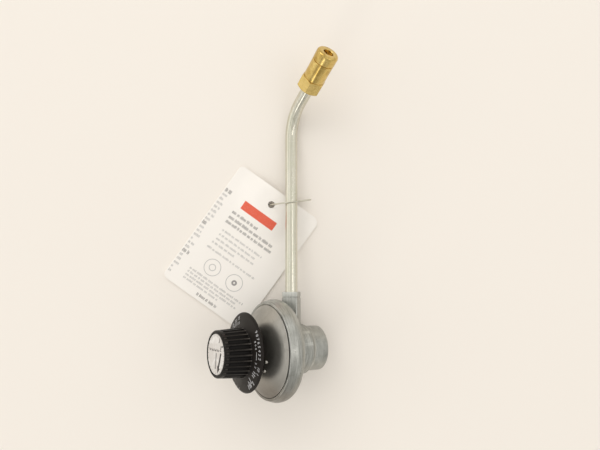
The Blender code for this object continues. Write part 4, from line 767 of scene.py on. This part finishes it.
def build_cover():
    slope = (CONE_TOP[1] - CONE_FOOT[1]) / (CONE_FOOT[0] - CONE_TOP[0])
    drop = COVER_WALL * sqrt(1 + slope * slope)

    def underside(radius):
        return CONE_FOOT[1] + (CONE_FOOT[0] - radius) * slope - drop

    neck = LIP_RADIUS - GAP
    inside = CHAMBER_RADIUS - 0.5
    points = arc_points([
        (FLANGE_RADIUS, FLANGE_BOTTOM_Z), (FLANGE_RADIUS, FLANGE_TOP_Z), (neck, FLANGE_TOP_Z),
        (neck, 0.1, 0.4), (CONE_FOOT[0], CONE_FOOT[1], COVER_BLEND),
        (CONE_TOP[0], CONE_TOP[1], COVER_BLEND),
        (TOWER_RADIUS, CONE_TOP[1] + 2.6, 1.5), (TOWER_RADIUS, TOWER_TOP_Z, 0.6),
        (BUSH_HOLE, TOWER_TOP_Z), (BUSH_HOLE, TOWER_CAP_Z), (TOWER_BORE, TOWER_CAP_Z),
        (TOWER_BORE, underside(TOWER_BORE) + 1.6), (CONE_TOP[0], underside(CONE_TOP[0])),
        (inside, underside(inside)), (inside, FLANGE_BOTTOM_Z)])
    shell = revolve(points, CASING_SIDES)
    pips = []
    for radius, degrees in PIP_SPOTS:
        low = underside(radius) + COVER_WALL / 2
        top = underside(radius) + drop + PIP_HEIGHT
        pip = revolve(arc_points([(0, low), (PIP_RADIUS * 1.3, low),
                                  (PIP_RADIUS, top, PIP_RADIUS * 0.6), (0, top)]), 32)
        pip.transform(Matrix.Translation(polar(radius, degrees)))
        pips.append(pip)
    solid = boolean(shell, pips, "UNION")
    vent = rod(VENT_RADIUS, VENT_CUT, Matrix.Translation(polar(*VENT_SPOT, CONE_FOOT[1])), 24)
    obj = finished("cover_look", cut(solid, vent), "cover", sharp=32)
    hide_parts("cover_casting")


# ---- knob
def build_knob():
    recess = LABEL_RADIUS + GAP
    cavity = KNOB_FOOT_RADIUS - KNOB_WALL
    ceiling = RECESS_FLOOR_Z - KNOB_WALL * 0.75
    points = arc_points([
        (0, RECESS_FLOOR_Z), (recess, RECESS_FLOOR_Z), (recess, KNOB_TOP_Z, 0.15),
        (KNOB_FACE_RADIUS, KNOB_TOP_Z, KNOB_FACE_ROUND),
        (KNOB_FOOT_RADIUS, SKIRT_TOP_Z, 0.8),
        (SKIRT_RADIUS - 1, SKIRT_EDGE_Z + SKIRT_THICKNESS, 0.8),
        (SKIRT_RADIUS, SKIRT_EDGE_Z + SKIRT_THICKNESS / 2, 0.3),
        (SKIRT_RADIUS, SKIRT_EDGE_Z, 0.2), (SKIRT_RADIUS - SKIRT_THICKNESS, SKIRT_EDGE_Z),
        (KNOB_FOOT_RADIUS, SKIRT_TOP_Z - SKIRT_THICKNESS), (cavity, SKIRT_TOP_Z - SKIRT_THICKNESS),
        (cavity - 0.5, ceiling, 1), (HUB_RADIUS, ceiling), (HUB_RADIUS, HUB_FOOT_Z),
        (KNOB_BORE, HUB_FOOT_Z), (KNOB_BORE, KNOB_BORE_TOP_Z), (0, KNOB_BORE_TOP_Z)], 5)
    body = revolve(points, FLUTES * 6)
    low = SKIRT_TOP_Z + 0.5
    lean = atan2(KNOB_FOOT_RADIUS - KNOB_FACE_RADIUS, KNOB_TOP_Z - SKIRT_TOP_Z)
    middle = (low + FLUTE_TOP_Z) / 2
    ring = KNOB_FOOT_RADIUS - (middle - SKIRT_TOP_Z) * tan(lean) + FLUTE_RADIUS - FLUTE_DEPTH
    length = (FLUTE_TOP_Z - low) / cos(lean)
    # each groove ends in a rounded run-out at the plain band
    foot, top = -length / 2, length / 2 + FLUTE_RADIUS * 0.4
    groove = revolve(arc_points([
        (0, foot), (FLUTE_RADIUS, foot), (FLUTE_RADIUS, top, FLUTE_RADIUS * 0.9), (0, top)],
        5), 20)
    leaned = Matrix.Translation((ring, 0, middle)) @ Matrix.Rotation(-lean, 4, "Y")
    grooves = []
    for index in range(FLUTES):
        copy = groove.copy()
        copy.transform(Matrix.Rotation(tau * (index + 0.5) / FLUTES, 4, "Z") @ leaned)
        grooves.append(copy)
    obj = finished("knob_look", cut(body, joined(grooves)), "knob", "knob_and_stem", 28)
    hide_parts("knob")

    disc = revolve(arc_points([
        (0, LABEL_FOOT_Z), (LABEL_RADIUS, LABEL_FOOT_Z),
        (LABEL_RADIUS, LABEL_FOOT_Z + LABEL_THICKNESS, 0.25),
        (0, LABEL_FOOT_Z + LABEL_THICKNESS)], 4), 128)
    face = finished("knob_face_look", disc, "label", "knob_and_stem")
    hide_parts("knob_face_disc")


# ---- printed marks
def glyphs(text, size, slant=0):
    """Digits as a closed raised shape about the origin, in the XY plane."""
    data = bpy.data.curves.new("digits", "FONT")
    for setting, value in (("body", text), ("size", size), ("shear", slant), ("resolution_u", 4),
                           ("extrude", PRINT), ("align_x", "CENTER"), ("align_y", "CENTER")):
        setattr(data, setting, value)
    shape = bmesh.new()
    shape.from_mesh(applied(placed("digits", data)))
    bmesh.ops.remove_doubles(shape, verts=shape.verts, dist=1e-4)
    return from_bmesh(shape)


def raised(shape):
    """The flat shape at the print's underside, made as thick as the print."""
    grown = bmesh.ops.extrude_face_region(shape, geom=shape.faces[:])
    lifted = [item for item in grown["geom"] if isinstance(item, bmesh.types.BMVert)]
    bmesh.ops.translate(shape, verts=lifted, vec=(0, 0, 2 * PRINT))
    bmesh.ops.recalc_face_normals(shape, faces=shape.faces)
    return from_bmesh(shape)


def plate(outline):
    """A thin raised shape with the given outline, in the XY plane."""
    shape = bmesh.new()
    shape.faces.new([shape.verts.new((x, y, -PRINT)) for x, y in outline])
    return raised(shape)


def strip(x0, x1, y0, y1, step=2):
    """A thin raised rectangle, split along X so that it can follow a curved surface."""
    columns = max(1, ceil((x1 - x0) / step))
    rows = max(1, ceil((y1 - y0) / step))
    shape = bmesh.new()
    bmesh.ops.create_grid(shape, x_segments=columns, y_segments=rows, size=0.5)
    bmesh.ops.scale(shape, verts=shape.verts, vec=(x1 - x0, y1 - y0, 1))
    bmesh.ops.translate(shape, verts=shape.verts, vec=((x0 + x1) / 2, (y0 + y1) / 2, -PRINT))
    return raised(shape)


def ring_mark(x, y, radius, width, sides=40):
    inner, outer = radius - width / 2, radius + width / 2
    shape = revolve([(inner, -PRINT), (outer, -PRINT), (outer, PRINT), (inner, PRINT)], sides)
    shape.transform(Matrix.Translation((x, y, 0)))
    return shape


def bent(mesh, surface):
    """The flat mark laid on a surface, which gives a place for each (x, y, height)."""
    for vertex in mesh.vertices:
        vertex.co = surface(*vertex.co)
    return mesh


def skirt_surface(radius, degrees):
    """Marks stand with their foot towards the knob's axis, at that radius and angle."""
    high = SKIRT_EDGE_Z + SKIRT_THICKNESS
    rim = SKIRT_RADIUS - 1
    slope = (SKIRT_TOP_Z - high) / (rim - KNOB_FOOT_RADIUS)

    def surface(x, y, z):
        r = radius + y
        return polar(r, degrees - 180 * x / (pi * radius), high + (rim - r) * slope + z)
    return surface


# the skirt's plain numbers: text, size, slant, radius, degrees about the knob's axis
SKIRT_NUMBERS = [(text, 3, 0.15, 22.1, 38 - 6 * at) for at, text in enumerate("98765432")]
SKIRT_NUMBERS += [
    ("10", 2.8, 0.15, 22.2, -20), ("1", 2.8, 0.15, 22.2, -28.5), ("8", 2.2, 0, 19, 24),
    ("6", 2.2, 0, 19, 18), ("4", 2.2, 0, 19, 12), ("2", 2.2, 0, 19, -14),
    ("3", 2.2, 0, 19, -21), ("0", 3.4, 0, 21.4, -60.5), ("15", 3, 0.15, 21.2, 106),
    ("20", 3, 0.15, 20.6, 118), ("25", 3, 0.15, 20.4, 130)]
# its ticks: half of the width, foot, top, radius, degrees
SKIRT_TICKS = [
    (0.2, -1.2, 1.2, 19.4, -31), (0.2, -1.6, 1.6, 19.4, -35.5), (0.2, -1.2, 1.2, 19.4, -40),
    (0.25, 0.5, 3.4, 19.8, -49), (0.25, -2.6, 1.4, 19.8, -53), (0.25, -0.4, 2.8, 19.8, -57),
    (0.25, -1.4, 1.2, 19.8, -61), (0.25, 0.2, 3, 19.8, -66)]
SKIRT_TICKS += [(0.2, -0.9, 0.9, 18.2, 102 + 6 * at) for at in range(6)]
SKIRT_TICKS += [(0.16, -0.6, 0.6, 22.6, 150 + 9 * at) for at in range(13)]
FACE_TICKS = 24
FACE_TICKS_AT = 11.2


def build_knob_marks():
    white = [bent(glyphs(text, size, slant), skirt_surface(radius, degrees))
             for text, size, slant, radius, degrees in SKIRT_NUMBERS]
    white += [bent(strip(-half, half, low, high, 0.8), skirt_surface(radius, degrees))
              for half, low, high, radius, degrees in SKIRT_TICKS]
    white.append(bent(strip(-2.3, 2.3, -0.16, 0.16, 0.6), skirt_surface(19.3, -1)))
    face = LABEL_FOOT_Z + LABEL_THICKNESS

    def on_face(mesh, x, y, degrees=0):
        mesh.transform(Matrix.Translation((x, y, face))
                       @ Matrix.Rotation(radians(degrees), 4, "Z"))
        return mesh

    # a plain pointer across the disc, a paler bar beside it, ticks and a small scale
    dark = [
        on_face(plate([(-0.8, 6), (-1, -3), (-2, -3), (0, -6.8), (2, -3),
                       (1, -3), (0.8, 6)]), 5.3, -4.4, -22),
        on_face(strip(-0.3, 0.3, -1.3, 1.3), 5.4, 8.2, -30),
        on_face(strip(-0.45, 0.45, -0.9, 0.9), 9.6, 5.2, -60),
        on_face(strip(-0.35, 0.35, -1.4, 1.4), 7.4, 4.2, -20)]
    dark += [on_face(glyphs(text, 3.8, 0.1), 6.4 - 3.6 * at, 2.6, -90)
             for at, text in enumerate("12345")]
    pale = [on_face(plate([(-0.6, 4.6), (-0.7, -4.8), (0.7, -4.8), (0.6, 4.6)]), 0.3, -3.8, -8)]
    for at in range(FACE_TICKS):
        degrees = 360 * at / FACE_TICKS
        spot = polar(FACE_TICKS_AT, degrees)
        pale.append(on_face(strip(-0.12, 0.12, -0.5, 0.5), spot.x, spot.y, degrees - 90))
    for name, meshes, look in (("skirt_marks", white, "white_ink"),
                               ("face_pointer", dark, "black_ink"),
                               ("face_scale", pale, "pale_ink")):
        finished(name, joined(meshes), look, "knob_and_stem")


def tag_place(u, v, z):
    """The place u from the tag's fold, v from its top and z up from where it would lie flat."""
    return Vector((u - TAG_HOLE[0], TAG_HOLE[1] - v, z + tag_lift(u, v)))


def tag_surface(u, v, z):
    return tag_place(u, v, z + TAG_CLEAR + 2 * PAPER + LEAF_GAP)


def build_tag_print():
    """Plain rules, bands and rings where the sheet is printed; no words."""
    rng = random.Random(7)
    red, grey, dark = [], [], []

    def row(ink_of_row, u0, u1, v, height):
        """A row of short upright strokes in groups, with no letters in it."""
        place = u0
        while place < u1 - 1:
            for _ in range(rng.randint(2, 7)):
                width = rng.uniform(0.32, 0.6)
                reach = height * rng.choice((0.5, 0.5, 0.72))
                if place + width > u1:
                    break
                ink_of_row.append(bent(strip(place, place + width, v - reach, v + height * 0.5,
                                             3), tag_surface))
                place += width + 0.28
            place += rng.uniform(0.6, 0.9)

    red.append(bent(strip(16.4, 42.4, 18.2, 24.4, 1.6), tag_surface))
    row(dark, 13.4, 34, 29.4, 1.7)
    row(dark, 13.4, 49, 33.4, 1.8)
    row(dark, 13.4, 51, 37, 1.7)
    for v, u0, u1 in ((43, 15, 48), (46.5, 15, 44), (50, 15, 46),
                      (53.4, 14, 33), (57.7, 13, 52), (76.5, 12, 56),
                      (79, 12, 52), (81.5, 12, 55), (84, 12, 40)):
        row(grey, u0, u1, v + 0.3, 1.25)
    row(dark, 26, 43, 88.6, 1.7)
    for u in (24.4, 42.4):
        grey.append(bent(ring_mark(u, 68, 5.7, 0.45), tag_surface))
    dark.append(bent(ring_mark(42.4, 68, 1.3, 1.2, 24), tag_surface))
    grey.append(bent(ring_mark(24.4, 68, 2.2, 0.5, 28), tag_surface))
    v = 20
    while v < 86:
        bold = min(abs(v - centre) for centre in (21, 47, 68)) < 1.7
        row(dark if bold else grey, 0.8, rng.uniform(3.8, 6.2), v, 2.2 if bold else 1.5)
        v += 3.3
    for name, meshes, look in (("tag_band", red, "red_ink"), ("tag_rules", grey, "grey_ink"),
                               ("tag_bold_rules", dark, "dark_ink")):
        finished(name, joined(meshes), look, "tag", matrix=TAG_FRAME)


# ---- outlet
def build_outlet():
    points, _, ahead = tube_route()
    outer = swept(points, TUBE_RADIUS, 48)
    longer = [points[0] - Vector((0, 1, 0))] + points[1:-1] + [points[-1] + ahead]
    inner = swept(longer, TUBE_BORE, 32)
    tube = finished("tube_look", cut(outer, inner), "nickel", sharp=40)
    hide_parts("outlet_tube")

    corner = NOZZLE_HEX / sqrt(3)
    middle = Matrix.Translation((0, 0, NOZZLE_HEX_LENGTH / 2))
    hexagon = rod(corner, NOZZLE_HEX_LENGTH, middle, 6)
    flats = NOZZLE_HEX / 2
    clear = corner + 0.2
    past = NOZZLE_HEX_LENGTH + 0.01
    chamfer = revolve([
        (0, -0.01), (flats - 0.3, -0.01), (clear, NOZZLE_HEX_CHAMFER),
        (clear, NOZZLE_HEX_LENGTH - 0.66), (flats, past), (0, past)], NOZZLE_SIDES)
    hexagon = boolean(hexagon, [chamfer], "INTERSECT")
    groove_end = NOZZLE_GROOVE_AT + NOZZLE_GROOVE_WIDTH
    groove_floor = NOZZLE_RADIUS - NOZZLE_GROOVE_DEPTH
    barrel = revolve(arc_points([
        (0, NOZZLE_HEX_LENGTH - 1), (flats - 0.2, NOZZLE_HEX_LENGTH - 1),
        (flats - 0.2, NOZZLE_HEX_LENGTH + 0.6), (NOZZLE_RADIUS, NOZZLE_HEX_LENGTH + 1.2, 0.4),
        (NOZZLE_RADIUS, NOZZLE_GROOVE_AT, 0.15), (groove_floor, NOZZLE_GROOVE_AT + 0.2),
        (groove_floor, groove_end - 0.2), (NOZZLE_COLLAR_RADIUS, groove_end, 0.2),
        (NOZZLE_COLLAR_RADIUS, NOZZLE_LENGTH, NOZZLE_COLLAR_ROUND), (0, NOZZLE_LENGTH)]),
        NOZZLE_SIDES)
    solid = boolean(hexagon, [barrel], "UNION")
    floor = NOZZLE_LENGTH - JET_DEPTH
    way = revolve([
        (0, -1), (NOZZLE_HOLE, -1), (NOZZLE_HOLE, 9), (NOZZLE_WAY, 9),
        (NOZZLE_WAY, floor), (JET_HOLE, floor), (JET_HOLE, NOZZLE_LENGTH - 0.4),
        (JET_HOLE + 0.7, NOZZLE_LENGTH + 0.3), (0, NOZZLE_LENGTH + 0.3)], 64)
    nozzle = finished("nozzle_look", cut(solid, way), "brass", sharp=28, matrix=NOZZLE)
    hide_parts("nozzle_body")


# ---- tag and tie
def tag_lift(u, v):
    """How far the tie holds the paper up at that place, in millimetres."""
    away = hypot(u - TAG_HOLE[0], v - TAG_HOLE[1])
    share = min(1, max(0, (away - TAG_LIFT_INNER) / (TAG_LIFT_OUTER - TAG_LIFT_INNER)))
    return TAG_LIFT * (1 - share * share * (3 - 2 * share))


def on_floor(turn):
    """Millimetres from the floor under the tag's hole, turned in plan, to the row frame."""
    place = Matrix.Translation((TAG_SPOT.x, TAG_SPOT.y, 0))
    return place @ Matrix.Rotation(turn, 4, "Z") @ TO_METRES


TAG_FRAME = on_floor(TAG_TURN)


def build_tag():
    leaf = PAPER + LEAF_GAP
    bend = leaf / 2
    low = TAG_CLEAR + PAPER / 2
    columns, rows = 52, 74
    section = [(TAG_WIDTH * index / columns, low) for index in range(columns, 0, -1)]
    for step in range(9):
        angle = pi * step / 8
        section.append((bend * (1 - sin(angle)), low + bend * (1 - cos(angle))))
    section += [(TAG_WIDTH * index / columns, low + leaf) for index in range(1, columns + 1)]
    shape = bmesh.new()
    grid = []
    for row in range(rows + 1):
        v = TAG_HEIGHT * row / rows
        grid.append([shape.verts.new(tag_place(u, v, z)) for u, z in section])
    for above, below in zip(grid, grid[1:]):
        for index in range(len(section) - 1):
            shape.faces.new((above[index], above[index + 1], below[index + 1], below[index]))
    bmesh.ops.recalc_face_normals(shape, faces=shape.faces)
    sheet = placed("sheet", from_bmesh(shape))
    thick = sheet.modifiers.new("paper", "SOLIDIFY")
    thick.thickness = PAPER
    thick.offset = 0
    tall = 20
    trim = block((TAG_WIDTH + leaf, TAG_HEIGHT - 0.1, tall),
                 (TAG_WIDTH - 0.1 - (TAG_WIDTH + leaf) / 2 - TAG_HOLE[0],
                  TAG_HOLE[1] - TAG_HEIGHT / 2, 0), TAG_CORNER)
    hole = rod(TAG_HOLE_RADIUS, tall, Matrix.Identity(4), 48)
    solid = cut(boolean(applied(sheet), [trim], "INTERSECT"), hole)
    obj = finished("tag_look", solid, "paper", "tag", 40, TAG_FRAME)
    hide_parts("paper_tag")


def build_tie():
    foot = SEAM + KNOB_AXIS * (BOSS_AXIS_Z * MM)
    cross = HOLE_FROM_TUBE / cos(TIE_TURN)
    cross_y = TAG_SPOT.y + cross * MM * sin(TIE_TURN)
    height = (foot.z + TUBE_AXIS.z * (cross_y - foot.y) / TUBE_AXIS.y) / MM
    wire = TIE_WIRE / 2
    over = height + TUBE_RADIUS + GAP + wire
    under = wire + GAP
    paper_top = TAG_CLEAR + TAG_LIFT + 2 * PAPER + LEAF_GAP
    hole = TAG_HOLE_RADIUS
    corners = [
        (hole * -0.3, paper_top), (hole * 0.13, (paper_top + under) / 2),
        (hole * 1.3, under + 0.1), (TIE_REACH * 0.34, under), (TIE_REACH * 0.53, under + 0.2),
        (TIE_REACH * 0.71, under + over * 0.05), (TIE_REACH * 0.86, under + over * 0.14),
        (TIE_REACH * 0.97, over * 0.5), (TIE_REACH, over * 0.66), (TIE_REACH * 0.93, over * 0.8),
        (TIE_REACH * 0.756, over * 0.93), (cross, over), (cross * 0.5, over * 0.84),
        (hole * 0.7, over * 0.52)]
    points = smooth_loop([(s, 0, z) for s, z in corners], 10)
    obj = finished("tie_look", swept(points, wire, 16, True), "tie", "tie", 60, on_floor(TIE_TURN))
    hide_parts("wire_tie")


# ---- CAD pieces kept as they are
KEPT_SHARP = 35  # degrees: steeper edges stay sharp
KEPT = {
    "steel": ("slip_ring", "diaphragm_plate", "adjusting_stem", "depressor_pin"),
    "jet": ("diaphragm_pin", "spring_nut", "inlet_nipple", "valve_retainer", "valve_poppet",
            "orifice_jet"),
    "bush": ("stem_bush",), "spring": ("stem_clip",), "filter": ("inlet_filter",),
    "rubber": ("inlet_seal_ring", "poppet_seal"),
}


def paint_kept():
    for look, names in KEPT.items():
        for name in names:
            mesh = frame["nodes"][name].data
            mesh.materials.clear()
            mesh.materials.append(MAT[look])
            mesh.set_sharp_from_angle(angle=radians(KEPT_SHARP))


# the CAD node, its look, the body it rides on, the joint that presses it, its foot along the
# knob's axis in mm from the seam, and the share of its length kept at the joint's end
SOFT_INSIDE = (
    ("main_spring", "spring", "diaphragm_centre", "nut_slide", -1.405, 0.85),
    ("poppet_spring", "spring", "regulator_body", "poppet_slide", -23.365, 0.835),
    ("diaphragm", "rubber", "regulator_body", "diaphragm_slide", -3.7, 0.36),
)


def build_soft_inside():
    for name, look, body, joint, foot, keep in SOFT_INSIDE:
        node = frame["nodes"][name]
        piece = finished(name + "_look", node.data.copy(), look, body, KEPT_SHARP,
                         node.matrix_world)
        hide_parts(name)
        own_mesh(piece)


# ---- floor, light, camera
def build_stage():
    shape = bmesh.new()
    bmesh.ops.create_grid(shape, x_segments=1, y_segments=1, size=FLOOR_REACH)
    floor = placed("floor", from_bmesh(shape))
    pale = Look("floor_pale", FLOOR_COLOR, 0.9)
    pale.set("Specular IOR Level", 0.1)
    floor.data.materials.append(pale.material)

    # a soft room with darker gaps, which the curved metal mirrors
    world = bpy.context.scene.world or bpy.data.worlds.new("world")
    bpy.context.scene.world = world
    world.use_nodes = True
    room = Tree(world.node_tree)
    x, y, _ = room.parts(room.add("ShaderNodeTexCoord").outputs["Generated"])

    def level(way, stops, tint):
        return room.ramp(room.remap(way, -1, 1), [
            ((place + 1) / 2, tuple(value * part for part in tint)) for place, value in stops])

    color = room.mix(1, level(x, WORLD_ACROSS, WORLD_TINT),
                     level(y, WORLD_ALONG, (1, 1, 1)), "MULTIPLY")
    background = room.tree.nodes["Background"]
    room.put(background.inputs["Color"], color)
    room.put(background.inputs["Strength"], WORLD_STRENGTH)

    for name, size, power, place, roll in LAMPS:
        data = bpy.data.lights.new(name, "AREA")
        data.shape = "RECTANGLE"
        data.size, data.size_y = size
        data.energy = power
        data.color = LAMP_COLOR
        obj = placed(name, data)
        obj.location = place
        towards = (-Vector(place)).to_track_quat("-Z", "Y")
        obj.rotation_euler = (towards @ Quaternion((0, 0, 1), radians(roll))).to_euler()


FLOOR_REACH = 30  # metres each way
FLOOR_COLOR = (0.92, 0.87, 0.81)
WORLD_STRENGTH = 1.5
WORLD_TINT = (1, 0.975, 0.93)
# level of the room by the direction's x, from the left to the right, and by its y
WORLD_ACROSS = ((-1, 0.82), (-0.8, 0.8), (-0.735, 0.25), (-0.67, 0.76), (-0.42, 0.8),
                (-0.17, 0.47), (0.08, 0.6), (0.4, 0.58), (0.78, 0.76), (0.97, 0.5))
WORLD_ALONG = ((-1, 0.74), (-0.5, 0.76), (0.1, 0.97), (1, 0.94))
LAMP_COLOR = (1, 0.975, 0.94)
# name, size in metres, watts, place, roll in degrees
LAMPS = (("wide_softbox", (1.6, 0.8), 6.6, (-0.35, 1.4, 1.2), 0),
         ("key_softbox", (1.00, 0.08), 0.68, (0.63, 0.06, 1.15), 40),
         ("low_softbox", (0.2, 1.15), 1.4, (-0.665, -1.15, 0.56), 0))

CAMERA_LENS = 34.8  # mm on a 36 mm sensor
CAMERA_HEIGHT = 393  # mm above the floor
CAMERA_FROM_SEAM = (17.1, 88.8)  # in plan, in mm
CAMERA_RIGHT = Vector((0.99993, 0, 0.01191))
CAMERA_UP = Vector((0.000325, 0.99963, -0.02725))


def build_camera():
    data = bpy.data.cameras.new("camera")
    data.lens = CAMERA_LENS
    data.sensor_width = 36
    data.clip_start = 0.01
    camera = placed("camera", data)
    right = CAMERA_RIGHT.normalized()
    back = right.cross(CAMERA_UP).normalized()
    up = back.cross(right)
    turn = Matrix((right, up, back)).transposed().to_4x4()
    place = Vector((SEAM.x + CAMERA_FROM_SEAM[0] * MM, SEAM.y + CAMERA_FROM_SEAM[1] * MM,
                    CAMERA_HEIGHT * MM))
    camera.matrix_world = Matrix.Translation(place) @ turn
    bpy.context.scene.camera = camera


build_camera()
build_casting()
build_cover()
build_knob()
build_knob_marks()
build_outlet()
build_tag()
build_tag_print()
build_tie()
paint_kept()
build_soft_inside()
build_stage()
bpy.context.scene.view_settings.view_transform = "Standard"
